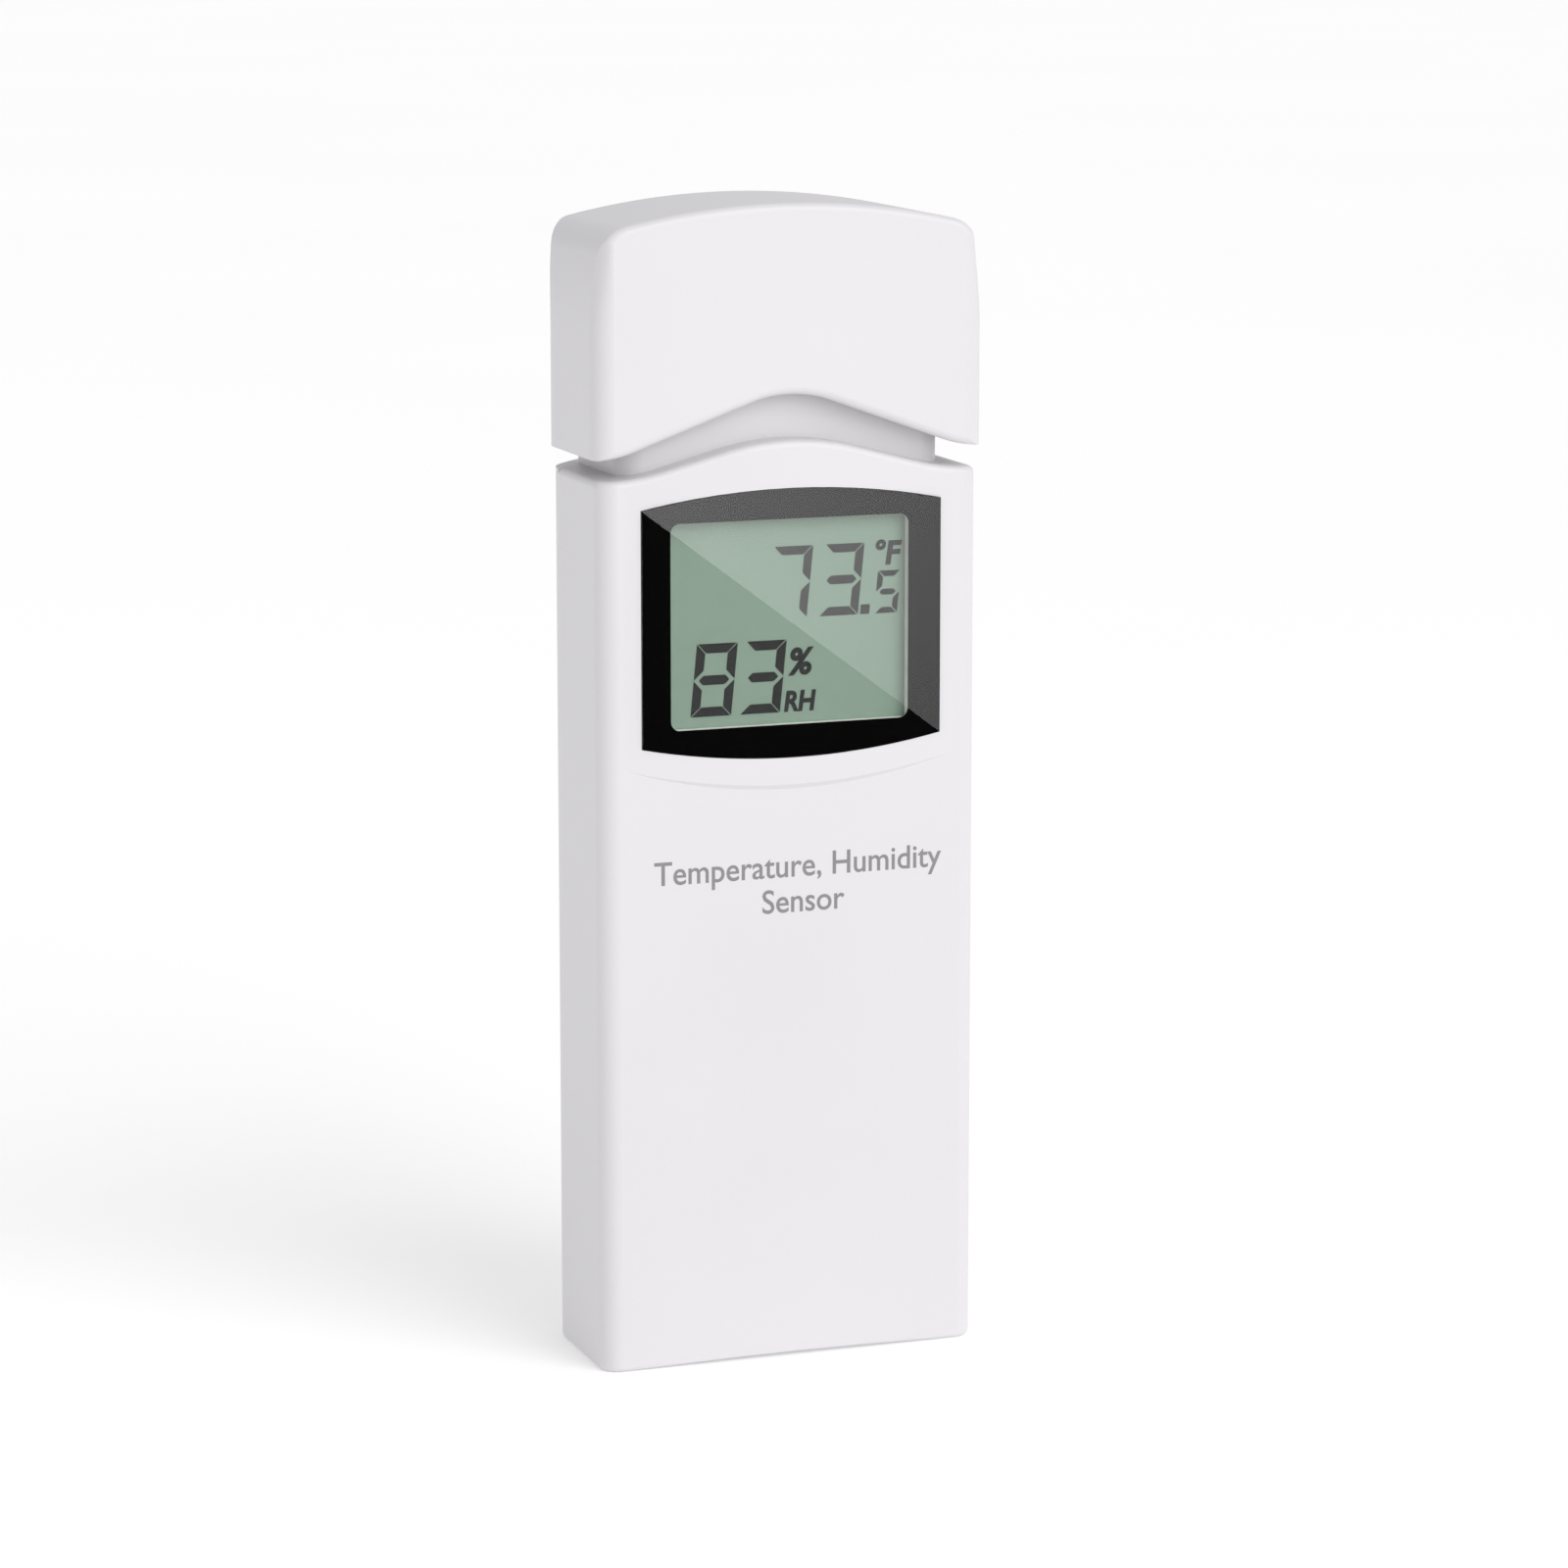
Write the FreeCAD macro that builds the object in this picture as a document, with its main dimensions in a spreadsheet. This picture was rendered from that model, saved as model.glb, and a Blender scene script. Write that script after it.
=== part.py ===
import FreeCAD, Part

# Wireless thermo-hygrometer sensor: a slim case with a display window, a neck above it and a rain hood.
#
# Millimetres. +X is to the right of someone who reads the display, +Y goes back to the wall and +Z is up.
# The origin is at the middle of the footprint, on the surface that the case stands on.

import math
import os
import re
import Sketcher

DRIVING = {
    # outside
    "case_width": 41.0,
    "depth": 19.0,
    "total_height": 120.0,
    "wall": 1.6,
    "front_corner": 2.0,
    "rear_corner": 5.0,
    "edge_round": 0.5,
    "foot_rise": 0.4,
    # shoulders of the case, which rise to the neck as a bell arch
    "shoulder_height": 92.5,
    "shoulder_rise": 3.6,
    "shoulder_slope": 15.0,
    "lip_round": 0.7,
    # gentle swell round the window
    "pad_height": 0.35,
    "pad_side_gap": 2.6,
    "pad_low": 60.7,
    "pad_arc_rise": 2.9,
    "pad_slope": 55.0,
    # window lens
    "window_width": 32.3,
    "window_low": 65.2,
    "window_high": 89.5,
    "window_arc_rise": 1.7,
    "lens_thick": 1.0,
    "mask_thick": 0.15,
    "seat_gap": 0.05,
    "view_width": 25.8,
    "view_low": 66.8,
    "view_high": 88.0,
    # neck and hood
    "neck_width": 35.0,
    "neck_front": 6.4,
    "neck_back": 7.0,
    "neck_top": 106.0,
    "neck_corner": 2.5,
    "neck_wall": 1.4,
    "hood_overhang": 0.45,
    "hood_edge_height": 94.7,
    "hood_edge_rise": 6.0,
    "hood_edge_slope": 20.0,
    "hood_side_radius": 50.0,
    "hood_shoulder_radius": 3.4,
    "hood_crown_radius": 80.0,
    "hood_lean_start": 107.0,
    "hood_lean_rate": 0.055,
    "hood_round": 0.8,
    "hood_room_depth": 3.8,
    "room_corner": 2.5,
    # hanging hole
    "keyhole_height": 108.6,
    "keyhole_radius": 4.0,
    "keyhole_slot": 4.2,
    "keyhole_rise": 5.0,
    # cells and their bay
    "cell_diameter": 14.5,
    "cell_length": 50.5,
    "nub_radius": 2.75,
    "nub_length": 1.2,
    "cell_gap": 0.15,
    "bay_floor": 0.6,
    "bay_wall": 0.8,
    "bay_bottom": 3.0,
    "spring_room": 3.0,
    "contact_thick": 0.4,
    "spring_wire": 0.3,
    "spring_radius": 3.4,
    "spring_turns": 3.0,
    # battery door
    "door_width": 30.0,
    "door_height": 71.6,
    "door_thick": 1.5,
    "tongue_width": 1.0,
    "tongue_thick": 0.6,
    "slide_gap": 0.1,
    "grip_height": 64.0,
    # boards and display
    "board_width": 29.8,
    "board_low": 59.8,
    "board_high": 94.2,
    "board_thick": 1.6,
    "board_front": 2.5,
    "glass_width": 27.6,
    "glass_low": 65.2,
    "glass_high": 89.6,
    "glass_thick": 2.0,
    "gasket_thick": 0.4,
    "reflector_thick": 0.3,
    "frame_rim": 1.0,
    "strip_height": 1.8,
    # screws
    "screw_radius": 0.9,
    "thread_gap": 0.03,
    "head_radius": 1.45,
    "head_thick": 1.1,
    "head_sink": 1.6,
    "boss_radius": 1.75,
    "seat_wall": 0.5,
    "case_screw_x": 16.9,
    "case_screw_height": 80.0,
    "board_screw_x": 12.0,
    "board_screw_low": 62.2,
    "board_screw_high": 92.6,
    "hood_screw_x": 11.0,
    "hood_screw_height": 102.4,
    # controls
    "dip_pitch": 2.54,
    "dip_height": 8.0,
    "dip_depth": 3.4,
    "dip_x": -5.0,
    "control_height": 65.8,
    "lever_size": 1.2,
    "lever_travel": 1.5,
    "reset_x": 7.0,
    "reset_radius": 1.5,
    "reset_travel": 0.4,
    "panel_thick": 1.0,
    # sensor in the neck
    "sensor_board_width": 14.0,
    "sensor_board_low": 95.2,
    "sensor_board_high": 104.2,
    "sensor_board_thick": 0.8,
}

doc = FreeCAD.newDocument("Sensor")
sheet = doc.addObject("Spreadsheet::Sheet", "Sheet")
SUB_PARTS = []


def fill_sheet():
    """Write each driving dimension into its own aliased cell."""
    for row, (alias, number) in enumerate(DRIVING.items(), start=1):
        sheet.set(f"A{row}", alias)
        sheet.set(f"B{row}", str(number))
        sheet.setAlias(f"B{row}", alias)
    doc.recompute()


def with_aliases(formula, write):
    """The formula with each alias written the way the function says."""
    return re.sub(r"[a-z]\w+", lambda word: write(word.group())
                  if word.group() in DRIVING else word.group(), formula)


def size(formula):
    """The value of a formula of sheet aliases, for geometry that is placed by code."""
    return float(FreeCAD.Units.Quantity(with_aliases(formula, lambda alias: f"({sheet.get(alias)})")).Value)


def bind(item, prop, formula):
    """Bind a property to a formula of sheet aliases."""
    item.setExpression(prop, with_aliases(formula, lambda alias: f"Sheet.{alias}"))


def keep(item, label):
    """Register an object as one sub-part under the name of its file."""
    item.Label = label
    SUB_PARTS.append(item)
    return item


# ---------------------------------------------------------------- primitives

def place(item, x, y, z):
    bind(item, "Placement.Base.x", x)
    bind(item, "Placement.Base.y", y)
    bind(item, "Placement.Base.z", z)


def box(name, x, y, z, along_x, along_y, along_z):
    """A box from its low corner and its three sizes."""
    item = doc.addObject("Part::Box", name)
    bind(item, "Length", along_x)
    bind(item, "Width", along_y)
    bind(item, "Height", along_z)
    place(item, x, y, z)
    return item


TURNS = {
    "+Z": FreeCAD.Rotation(),
    "+Y": FreeCAD.Rotation(FreeCAD.Vector(1, 0, 0), -90),
    "-Y": FreeCAD.Rotation(FreeCAD.Vector(1, 0, 0), 90),
    "+X": FreeCAD.Rotation(FreeCAD.Vector(0, 1, 0), 90),
}


def rod(name, x, y, z, radius, length, way="+Z"):
    """A cylinder from the centre of its first end, along one axis."""
    item = doc.addObject("Part::Cylinder", name)
    item.Placement.Rotation = TURNS[way]
    bind(item, "Radius", radius)
    bind(item, "Height", length)
    place(item, x, y, z)
    return item


def join(name, pieces):
    """Fuse pieces that touch into one solid."""
    item = doc.addObject("Part::MultiFuse", name)
    item.Shapes = pieces
    item.Refine = True
    return item


def group(name, pieces):
    """Keep separate solids together in one sub-part."""
    item = doc.addObject("Part::Compound", name)
    item.Links = pieces
    return item


def cut(name, base, tool):
    item = doc.addObject("Part::Cut", name)
    item.Base = base
    item.Tool = tool
    return item


# ---------------------------------------------------------------- part design

def new_body(name):
    return doc.addObject("PartDesign::Body", name)


def sketch_on(body, role, name, offset="0"):
    """A sketch on one of the body's origin planes, moved along that plane's normal."""
    plane = next(item for item in body.Origin.OriginFeatures if item.Role == role)
    sketch = body.newObject("Sketcher::SketchObject", name)
    sketch.AttachmentSupport = [(plane, "")]
    sketch.MapMode = "FlatFace"
    bind(sketch, "AttachmentOffset.Base.z", offset)
    return sketch


def fix(sketch, kind, first, point, name, formula, along):
    """Bind one coordinate of a point to a formula."""
    constraint = Sketcher.Constraint(kind, -1, 1, first, point, along)
    index = sketch.addConstraint(constraint)
    sketch.renameConstraint(index, name)
    bind(sketch, f"Constraints.{name}", formula)


def add_rectangle(sketch, left, right, low, high):
    """A rectangle whose four sides are bound to formulas."""
    a, b = size(left), size(right)
    c, d = size(low), size(high)
    corners = [FreeCAD.Vector(*xy, 0) for xy in ((a, c), (b, c), (b, d), (a, d))]
    first = sketch.GeometryCount
    for start, end in zip(corners, corners[1:] + corners[:1]):
        sketch.addGeometry(Part.LineSegment(start, end))
    for side in range(4):
        sketch.addConstraint(Sketcher.Constraint("Coincident", first + side, 2, first + (side + 1) % 4, 1))
        way = "Horizontal" if side % 2 == 0 else "Vertical"
        sketch.addConstraint(Sketcher.Constraint(way, first + side))
    fix(sketch, "DistanceX", first, 1, f"left_{first}", left, a)
    fix(sketch, "DistanceX", first + 2, 1, f"right_{first}", right, b)
    fix(sketch, "DistanceY", first, 1, f"low_{first}", low, c)
    fix(sketch, "DistanceY", first + 2, 1, f"high_{first}", high, d)


def add_circle(sketch, x, y, radius):
    """A circle whose centre and radius are bound to formulas."""
    centre = FreeCAD.Vector(size(x), size(y), 0)
    first = sketch.addGeometry(Part.Circle(centre, FreeCAD.Vector(0, 0, 1), size(radius)))
    index = sketch.addConstraint(Sketcher.Constraint("Radius", first, size(radius)))
    sketch.renameConstraint(index, f"radius_{first}")
    bind(sketch, f"Constraints.radius_{first}", radius)
    fix(sketch, "DistanceX", first, 3, f"x_{first}", x, centre.x)
    fix(sketch, "DistanceY", first, 3, f"y_{first}", y, centre.y)


def pad(body, sketch, name, length, backward=False):
    item = body.newObject("PartDesign::Pad", name)
    item.Profile = sketch
    item.Reversed = backward
    bind(item, "Length", length)
    return item


def pocket(body, sketch, name, length, backward=False):
    """A pocket against the sketch's normal, or along it when backward."""
    item = body.newObject("PartDesign::Pocket", name)
    item.Profile = sketch
    item.Reversed = backward
    bind(item, "Length", length)
    return item


def pocket_through(body, sketch, name):
    """A pocket through everything, to both sides of its sketch."""
    item = body.newObject("PartDesign::Pocket", name)
    item.Profile = sketch
    item.Type = "ThroughAll"
    item.Midplane = True
    return item


def fillet(body, name, radius, test):
    """A fillet on each edge of the body so far that passes the test."""
    doc.recompute()
    base = body.Tip
    names = [f"Edge{i}" for i, edge in enumerate(base.Shape.Edges, start=1) if test(edge)]
    item = body.newObject("PartDesign::Fillet", name)
    item.Base = (base, names)
    bind(item, "Radius", radius)
    doc.recompute()
    return item


def upright(edge, x, y):
    """Whether an edge is vertical and stands at |x| and y."""
    ends = [vertex.Point for vertex in edge.Vertexes]
    if len(ends) < 2 or abs(ends[0].z - ends[1].z) < 1.0:
        return False
    return all(abs(abs(p.x) - x) < 0.01 and abs(p.y - y) < 0.01 for p in ends)


# ---------------------------------------------------------------- outlines

def line(a, b):
    return Part.LineSegment(FreeCAD.Vector(*a, 0), FreeCAD.Vector(*b, 0))


def arc(a, middle, b):
    return Part.Arc(FreeCAD.Vector(*a, 0), FreeCAD.Vector(*middle, 0), FreeCAD.Vector(*b, 0))


def bell_arch(half, end, rise, slope):
    """A bell-shaped edge from -half to half: a hollow arc, a straight flank and a round crown, all
    tangent."""
    angle = math.radians(slope)
    radius = (half * math.tan(angle) - rise) / (2 / math.cos(angle) - 2)
    peak = end + rise

    def crown(turn):
        return radius * math.sin(turn), peak - radius * (1 - math.cos(turn))

    def heel(turn):
        return half - radius * math.sin(turn), end + radius * (1 - math.cos(turn))

    def left(point):
        return -point[0], point[1]

    return [
        arc(left(heel(0)), left(heel(angle / 2)), left(heel(angle))),
        line(left(heel(angle)), left(crown(angle))),
        arc(left(crown(angle)), crown(0), crown(angle)),
        line(crown(angle), heel(angle)),
        arc(heel(angle), heel(angle / 2), heel(0)),
    ]


def add_above(sketch, edges, half, end, top):
    """Close an edge that runs from -half to half, at the height end, over the room above it."""
    outer = half + 2
    path = [line((-outer, end), (-half, end))] + edges + [line((half, end), (outer, end))]
    path += [line((outer, end), (outer, top)), line((outer, top), (-outer, top)),
             line((-outer, top), (-outer, end))]
    for edge in path:
        sketch.addGeometry(edge)


def add_barrel(sketch, half, low, high, rise):
    """The window's outline: straight sides, with the top and bottom bowed outward by the rise."""
    sketch.addGeometry(line((-half, high), (-half, low)))
    sketch.addGeometry(arc((-half, low), (0, low - rise), (half, low)))
    sketch.addGeometry(line((half, low), (half, high)))
    sketch.addGeometry(arc((half, high), (0, high + rise), (-half, high)))



# ---------------------------------------------------------------- planes and places that several
# pieces share

CASE_FRONT = "-depth / 2 + pad_height"
PART_LINE = "depth / 2 - rear_corner"
INNER_FRONT = "-depth / 2 + pad_height + wall"
INNER_BACK = "depth / 2 - wall"
HALF_WIDTH = "case_width / 2"
LENS_BACK = "-depth / 2 + seat_gap + lens_thick"
BOARD_BACK = "-board_front + board_thick"
BAY_SIDE = "cell_diameter + cell_gap"
BAY_TOP = "bay_bottom + 2 * contact_thick + spring_room + cell_length"
BAY_FRONT = "-depth / 2 + pad_height + wall + slide_gap"
CELL_AXIS_Y = "-depth / 2 + pad_height + wall + slide_gap + bay_floor + cell_gap + cell_diameter / 2"
CELL_X = "cell_diameter / 2 + cell_gap / 2"
DOOR_FRONT = "depth / 2 - door_thick"
DOOR_LOW = "foot_rise"
DOOR_HIGH = "foot_rise + door_height"
PANEL_FRONT = "-board_front + board_thick + dip_depth + slide_gap"
HOOD_HALF = "case_width / 2 + hood_overhang"
ROOM_TOP = "total_height - hood_room_depth"
HOOD_SCREWS = [("-hood_screw_x", "hood_screw_height"), ("hood_screw_x", "hood_screw_height")]
CASE_SCREWS = [("-case_screw_x", "case_screw_height"), ("case_screw_x", "case_screw_height")]
BOARD_SCREWS = [(f"{side}board_screw_x", f"board_screw_{end}") for end in ("low", "high")
                for side in ("-", "")]


def shoulder_arch():
    return bell_arch(size(HALF_WIDTH), size("shoulder_height"), size("shoulder_rise"),
                     size("shoulder_slope"))


def cut_shoulders(body):
    """Take the corners above the bell arch off a block that reaches the peak."""
    sketch = sketch_on(body, "XZ_Plane", "ShoulderLine")
    add_above(sketch, shoulder_arch(), size(HALF_WIDTH), size("shoulder_height"), size("total_height"))
    pocket_through(body, sketch, "Shoulders")


def cut_foot(body):
    """Bow the bottom edge up a little between two feet."""
    half = size("case_width / 2 - front_corner")
    sketch = sketch_on(body, "XZ_Plane", "FootLine")
    sketch.addGeometry(arc((-half, 0), (0, size("foot_rise")), (half, 0)))
    sketch.addGeometry(line((half, 0), (-half, 0)))
    pocket_through(body, sketch, "Foot")


def add_bosses(body, places, offset, length, name, backward):
    """Round screw bosses that stand on a plane parallel to the front."""
    sketch = sketch_on(body, "XZ_Plane", f"{name}Places", offset)
    for x, z in places:
        add_circle(sketch, x, z, "boss_radius")
    pad(body, sketch, name, length, backward)


def add_holes(body, places, offset, radius, length, name, backward):
    """Round holes cut from a plane parallel to the front."""
    sketch = sketch_on(body, "XZ_Plane", f"{name}Places", offset)
    for x, z in places:
        add_circle(sketch, x, z, radius)
    pocket(body, sketch, name, length, backward)


# ---------------------------------------------------------------- front shell

def front_block(body):
    outline = sketch_on(body, "XY_Plane", "Outline")
    add_rectangle(outline, f"-{HALF_WIDTH}", HALF_WIDTH, CASE_FRONT, PART_LINE)
    pad(body, outline, "Block", "shoulder_height + shoulder_rise")
    fillet(body, "FrontCorners", "front_corner", lambda e: upright(e, size(HALF_WIDTH), size(CASE_FRONT)))
    fillet(body, "FootLip", "edge_round", lambda e: e.BoundBox.ZMax < 0.01
           and e.BoundBox.YMin < size(PART_LINE) - 0.01)
    window_swell(body)
    cut_shoulders(body)
    cut_foot(body)


def is_front_arch(edge):
    """Whether an edge runs along the arched top of the front."""
    bounds = edge.BoundBox
    is_high = bounds.ZMin > size("shoulder_height") - 0.5
    return is_high and bounds.YMax < size(CASE_FRONT) + 0.1 and bounds.XLength > 0.01


def window_swell(body):
    """A swell round the window: flush at the sides, proud in the middle, with a bowed and sloping
    lower end."""
    half, front = size("case_width / 2 - pad_side_gap"), size(CASE_FRONT)
    low, rise = size("pad_low"), size("pad_arc_rise")
    plan = sketch_on(body, "XY_Plane", "SwellOutline", "pad_low - 1")
    plan.addGeometry(arc((-half, front), (0, size("-depth / 2")), (half, front)))
    for a, b in (((half, front), (half, front + 0.5)), ((half, front + 0.5), (-half, front + 0.5)),
                 ((-half, front + 0.5), (-half, front))):
        plan.addGeometry(line(a, b))
    pad(body, plan, "Swell", "shoulder_height + shoulder_rise - pad_low + 1")
    below = sketch_on(body, "XZ_Plane", "SwellEnd", "depth / 2")
    below.addGeometry(arc((-half, low + rise), (0, low), (half, low + rise)))
    path = [(half, low + rise), (half + 1, low + rise), (half + 1, low - 3), (-half - 1, low - 3),
            (-half - 1, low + rise), (-half, low + rise)]
    for a, b in zip(path, path[1:]):
        below.addGeometry(line(a, b))
    end = pocket(body, below, "SwellCut", "pad_height")
    bind(end, "TaperAngle", "-pad_slope")


def front_neck(body):
    outline = sketch_on(body, "XY_Plane", "NeckOutline", "shoulder_height - 4")
    add_rectangle(outline, "-neck_width / 2", "neck_width / 2", "-neck_front", PART_LINE)
    pad(body, outline, "Neck", "neck_top - shoulder_height + 4")
    half, front = size("neck_width / 2"), size("-neck_front")
    fillet(body, "NeckCorners", "neck_corner", lambda e: upright(e, half, front) and e.BoundBox.ZMax > 100)


def front_rooms(body):
    """Hollow the case and the neck from the parting line."""
    room = sketch_on(body, "XZ_Plane", "RoomOutline", f"-({PART_LINE})")
    add_rectangle(room, f"-{HALF_WIDTH} + wall", f"{HALF_WIDTH} - wall", "wall", "shoulder_height - wall")
    pocket(body, room, "Room", f"{PART_LINE} - ({INNER_FRONT})", True)
    neck = sketch_on(body, "XZ_Plane", "NeckRoomOutline", f"-({PART_LINE})")
    half = "neck_width / 2 - neck_wall"
    add_rectangle(neck, f"-({half})", half, "shoulder_height - wall - 1", "neck_top - neck_wall")
    pocket(body, neck, "NeckRoom", f"{PART_LINE} + neck_front - neck_wall", True)


def window_cut(body):
    """The lens recess in the pad and the smaller opening behind it."""
    recess = sketch_on(body, "XZ_Plane", "RecessLine", "depth / 2")
    half = size("window_width / 2 + seat_gap")
    low, high = size("window_low - seat_gap"), size("window_high + seat_gap")
    add_barrel(recess, half, low, high, size("window_arc_rise"))
    pocket(body, recess, "Recess", "seat_gap + lens_thick + mask_thick")
    view = sketch_on(body, "XZ_Plane", "ViewOutline", "depth / 2")
    add_rectangle(view, "-view_width / 2 - 0.4", "view_width / 2 + 0.4", "view_low - 0.4", "view_high + 0.4")
    pocket(body, view, "View", "wall + pad_height + 0.5")


def front_posts(body):
    """Posts for the case screws and for the board screws."""
    add_bosses(body, CASE_SCREWS, f"-({INNER_FRONT}) + 0.2", f"{PART_LINE} - ({INNER_FRONT}) + 0.2",
               "Posts", True)
    add_holes(body, CASE_SCREWS, f"-({PART_LINE})", "screw_radius + thread_gap", "6", "PostHoles", True)
    low, high = BOARD_SCREWS[:2], BOARD_SCREWS[2:]
    reach = f"-board_front - ({INNER_FRONT}) + 0.2"
    add_bosses(body, low, f"-({INNER_FRONT}) + 0.2", reach, "LowBoardPosts", True)
    add_bosses(body, high, "neck_front - neck_wall + 0.2", "neck_front - neck_wall + 0.2 - board_front",
               "HighBoardPosts", True)
    add_holes(body, BOARD_SCREWS, "board_front", "screw_radius + thread_gap", "2.2", "BoardPostHoles", True)


def neck_slots(body):
    """Three air slots through each side of the neck, under the hood."""
    sketch = sketch_on(body, "YZ_Plane", "SlotOutlines")
    for number in range(3):
        low = f"shoulder_height + 5.2 + {2.2 * number}"
        add_rectangle(sketch, "-neck_front + neck_corner + 0.4", f"{PART_LINE} - 1", low, f"{low} + 1.1")
    pocket_through(body, sketch, "Slots")


def make_front_shell():
    body = new_body("FrontShell")
    front_block(body)
    fillet(body, "TopLip", "lip_round", is_front_arch)
    front_neck(body)
    front_rooms(body)
    window_cut(body)
    front_posts(body)
    neck_slots(body)
    return keep(body, "front_shell")


# ---------------------------------------------------------------- back shell

def back_block(body):
    outline = sketch_on(body, "XY_Plane", "Outline")
    add_rectangle(outline, f"-{HALF_WIDTH}", HALF_WIDTH, PART_LINE, "depth / 2")
    pad(body, outline, "Block", "shoulder_height + shoulder_rise")
    fillet(body, "BackCorners", "rear_corner - 0.01",
           lambda e: upright(e, size(HALF_WIDTH), size("depth / 2")))
    fillet(body, "FootLip", "edge_round", lambda e: e.BoundBox.ZMax < 0.01
           and e.BoundBox.YMax > size(PART_LINE) + 0.02)
    cut_shoulders(body)
    cut_foot(body)


def back_neck(body):
    outline = sketch_on(body, "XY_Plane", "NeckOutline", "shoulder_height - 4")
    add_rectangle(outline, "-neck_width / 2", "neck_width / 2", PART_LINE, "neck_back")
    pad(body, outline, "Neck", "neck_top - shoulder_height + 4")
    pads = sketch_on(body, "XZ_Plane", "HoodPostPlaces", "-neck_back + 0.2")
    for x, z in HOOD_SCREWS:
        add_circle(pads, x, z, "boss_radius + 0.6")
    pad(body, pads, "HoodPosts", f"{INNER_BACK} - neck_back + 0.2", True)


def back_rooms(body):
    room = sketch_on(body, "XZ_Plane", "RoomOutline", f"-({PART_LINE})")
    inner = f"{HALF_WIDTH} - wall - 1.2"
    add_rectangle(room, f"-({inner})", inner, "wall", "shoulder_height - wall")
    pocket(body, room, "Room", "rear_corner - wall")
    neck = sketch_on(body, "XZ_Plane", "NeckRoomOutline", f"-({PART_LINE})")
    half = "neck_width / 2 - neck_wall"
    add_rectangle(neck, f"-({half})", half, "shoulder_height - wall - 1", "neck_top - neck_wall")
    pocket(body, neck, "NeckRoom", f"neck_back - neck_wall - ({PART_LINE})")
    add_holes(body, HOOD_SCREWS, f"-({INNER_BACK})", "screw_radius + thread_gap", "4", "HoodPostHoles", True)


def back_posts(body):
    """Posts that carry the case screws, and the seats that sink their heads."""
    sketch = sketch_on(body, "XZ_Plane", "PostPlaces", f"-({PART_LINE})")
    for x, z in CASE_SCREWS:
        add_circle(sketch, x, z, "head_radius + slide_gap + seat_wall")
    pad(body, sketch, "Posts", "rear_corner - wall", True)
    add_holes(body, CASE_SCREWS, "-depth / 2", "screw_radius + slide_gap", "rear_corner", "ScrewHoles", True)
    add_holes(body, CASE_SCREWS, "-depth / 2", "head_radius + slide_gap", "head_thick + head_sink",
              "HeadSeats", True)


def cell_bay(body):
    """The tub that holds the cells, open to the back."""
    side, top = f"{BAY_SIDE} + bay_wall", f"{BAY_TOP} + bay_wall"
    tub = sketch_on(body, "XZ_Plane", "TubOutline", f"-({INNER_BACK})")
    add_rectangle(tub, f"-({side})", side, "wall + 0.3", top)
    pad(body, tub, "Tub", f"{INNER_BACK} - ({BAY_FRONT})")
    bay = sketch_on(body, "XZ_Plane", "BayOutline", "-depth / 2")
    add_rectangle(bay, f"-({BAY_SIDE})", BAY_SIDE, "bay_bottom", BAY_TOP)
    pocket(body, bay, "Bay", f"depth / 2 - ({BAY_FRONT}) - bay_floor", True)
    slots = sketch_on(body, "XY_Plane", "TabSlots", f"{BAY_TOP} - 1")
    for x in (f"-({CELL_X})", CELL_X):
        add_rectangle(slots, f"{x} - 1 - slide_gap", f"{x} + 1 + slide_gap", f"{CELL_AXIS_Y} - 0.3",
                      f"{CELL_AXIS_Y} + 0.3")
    pocket(body, slots, "TabHoles", "bay_wall + 2", True)


def control_panel(body):
    """A panel over the board, above the bay, with openings for the switches."""
    side = "door_width / 2 + tongue_width + slide_gap + bay_wall"
    high = f"{DOOR_HIGH} + slide_gap + bay_wall"
    frame = sketch_on(body, "XZ_Plane", "PanelOutline", f"-({INNER_BACK})")
    add_rectangle(frame, f"-({side})", side, BAY_TOP, high)
    pad(body, frame, "PanelBlock", f"{INNER_BACK} - ({PANEL_FRONT})")
    well = sketch_on(body, "XZ_Plane", "WellOutline", f"-({INNER_BACK})")
    add_rectangle(well, f"-({side} - bay_wall)", f"{side} - bay_wall", f"{BAY_TOP} + bay_wall",
                  f"{high} - bay_wall")
    pocket(body, well, "Well", f"{INNER_BACK} - ({PANEL_FRONT}) - panel_thick", True)
    openings = sketch_on(body, "XZ_Plane", "PanelOpenings", f"-({INNER_BACK})")
    half = "dip_pitch * 2 + slide_gap"
    add_rectangle(openings, f"dip_x - ({half})", f"dip_x + {half}", "control_height - dip_height / 2 + 1.2",
                  "control_height + dip_height / 2 - 1.2")
    add_circle(openings, "reset_x", "control_height", "reset_radius + slide_gap")
    pocket(body, openings, "Openings", "rear_corner + 3", True)


def door_way(body):
    """The opening for the door, with a groove for its tongues along each side."""
    slot = sketch_on(body, "XZ_Plane", "DoorOutline", "-depth / 2")
    half = "door_width / 2 + slide_gap"
    add_rectangle(slot, f"-({half})", half, "-1", f"{DOOR_HIGH} + slide_gap")
    pocket(body, slot, "DoorOpening", "door_thick + slide_gap", True)
    groove = sketch_on(body, "XZ_Plane", "GrooveOutline", f"-({DOOR_FRONT}) - tongue_thick - slide_gap")
    wide = "door_width / 2 + tongue_width + slide_gap"
    add_rectangle(groove, f"-({wide})", wide, "-1", f"{DOOR_HIGH} + slide_gap")
    pocket(body, groove, "Groove", "tongue_thick + 2 * slide_gap", True)


def make_back_shell():
    body = new_body("BackShell")
    back_block(body)
    back_neck(body)
    back_rooms(body)
    cell_bay(body)
    control_panel(body)
    door_way(body)
    back_posts(body)
    return keep(body, "back_shell")


# ---------------------------------------------------------------- battery door

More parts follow.
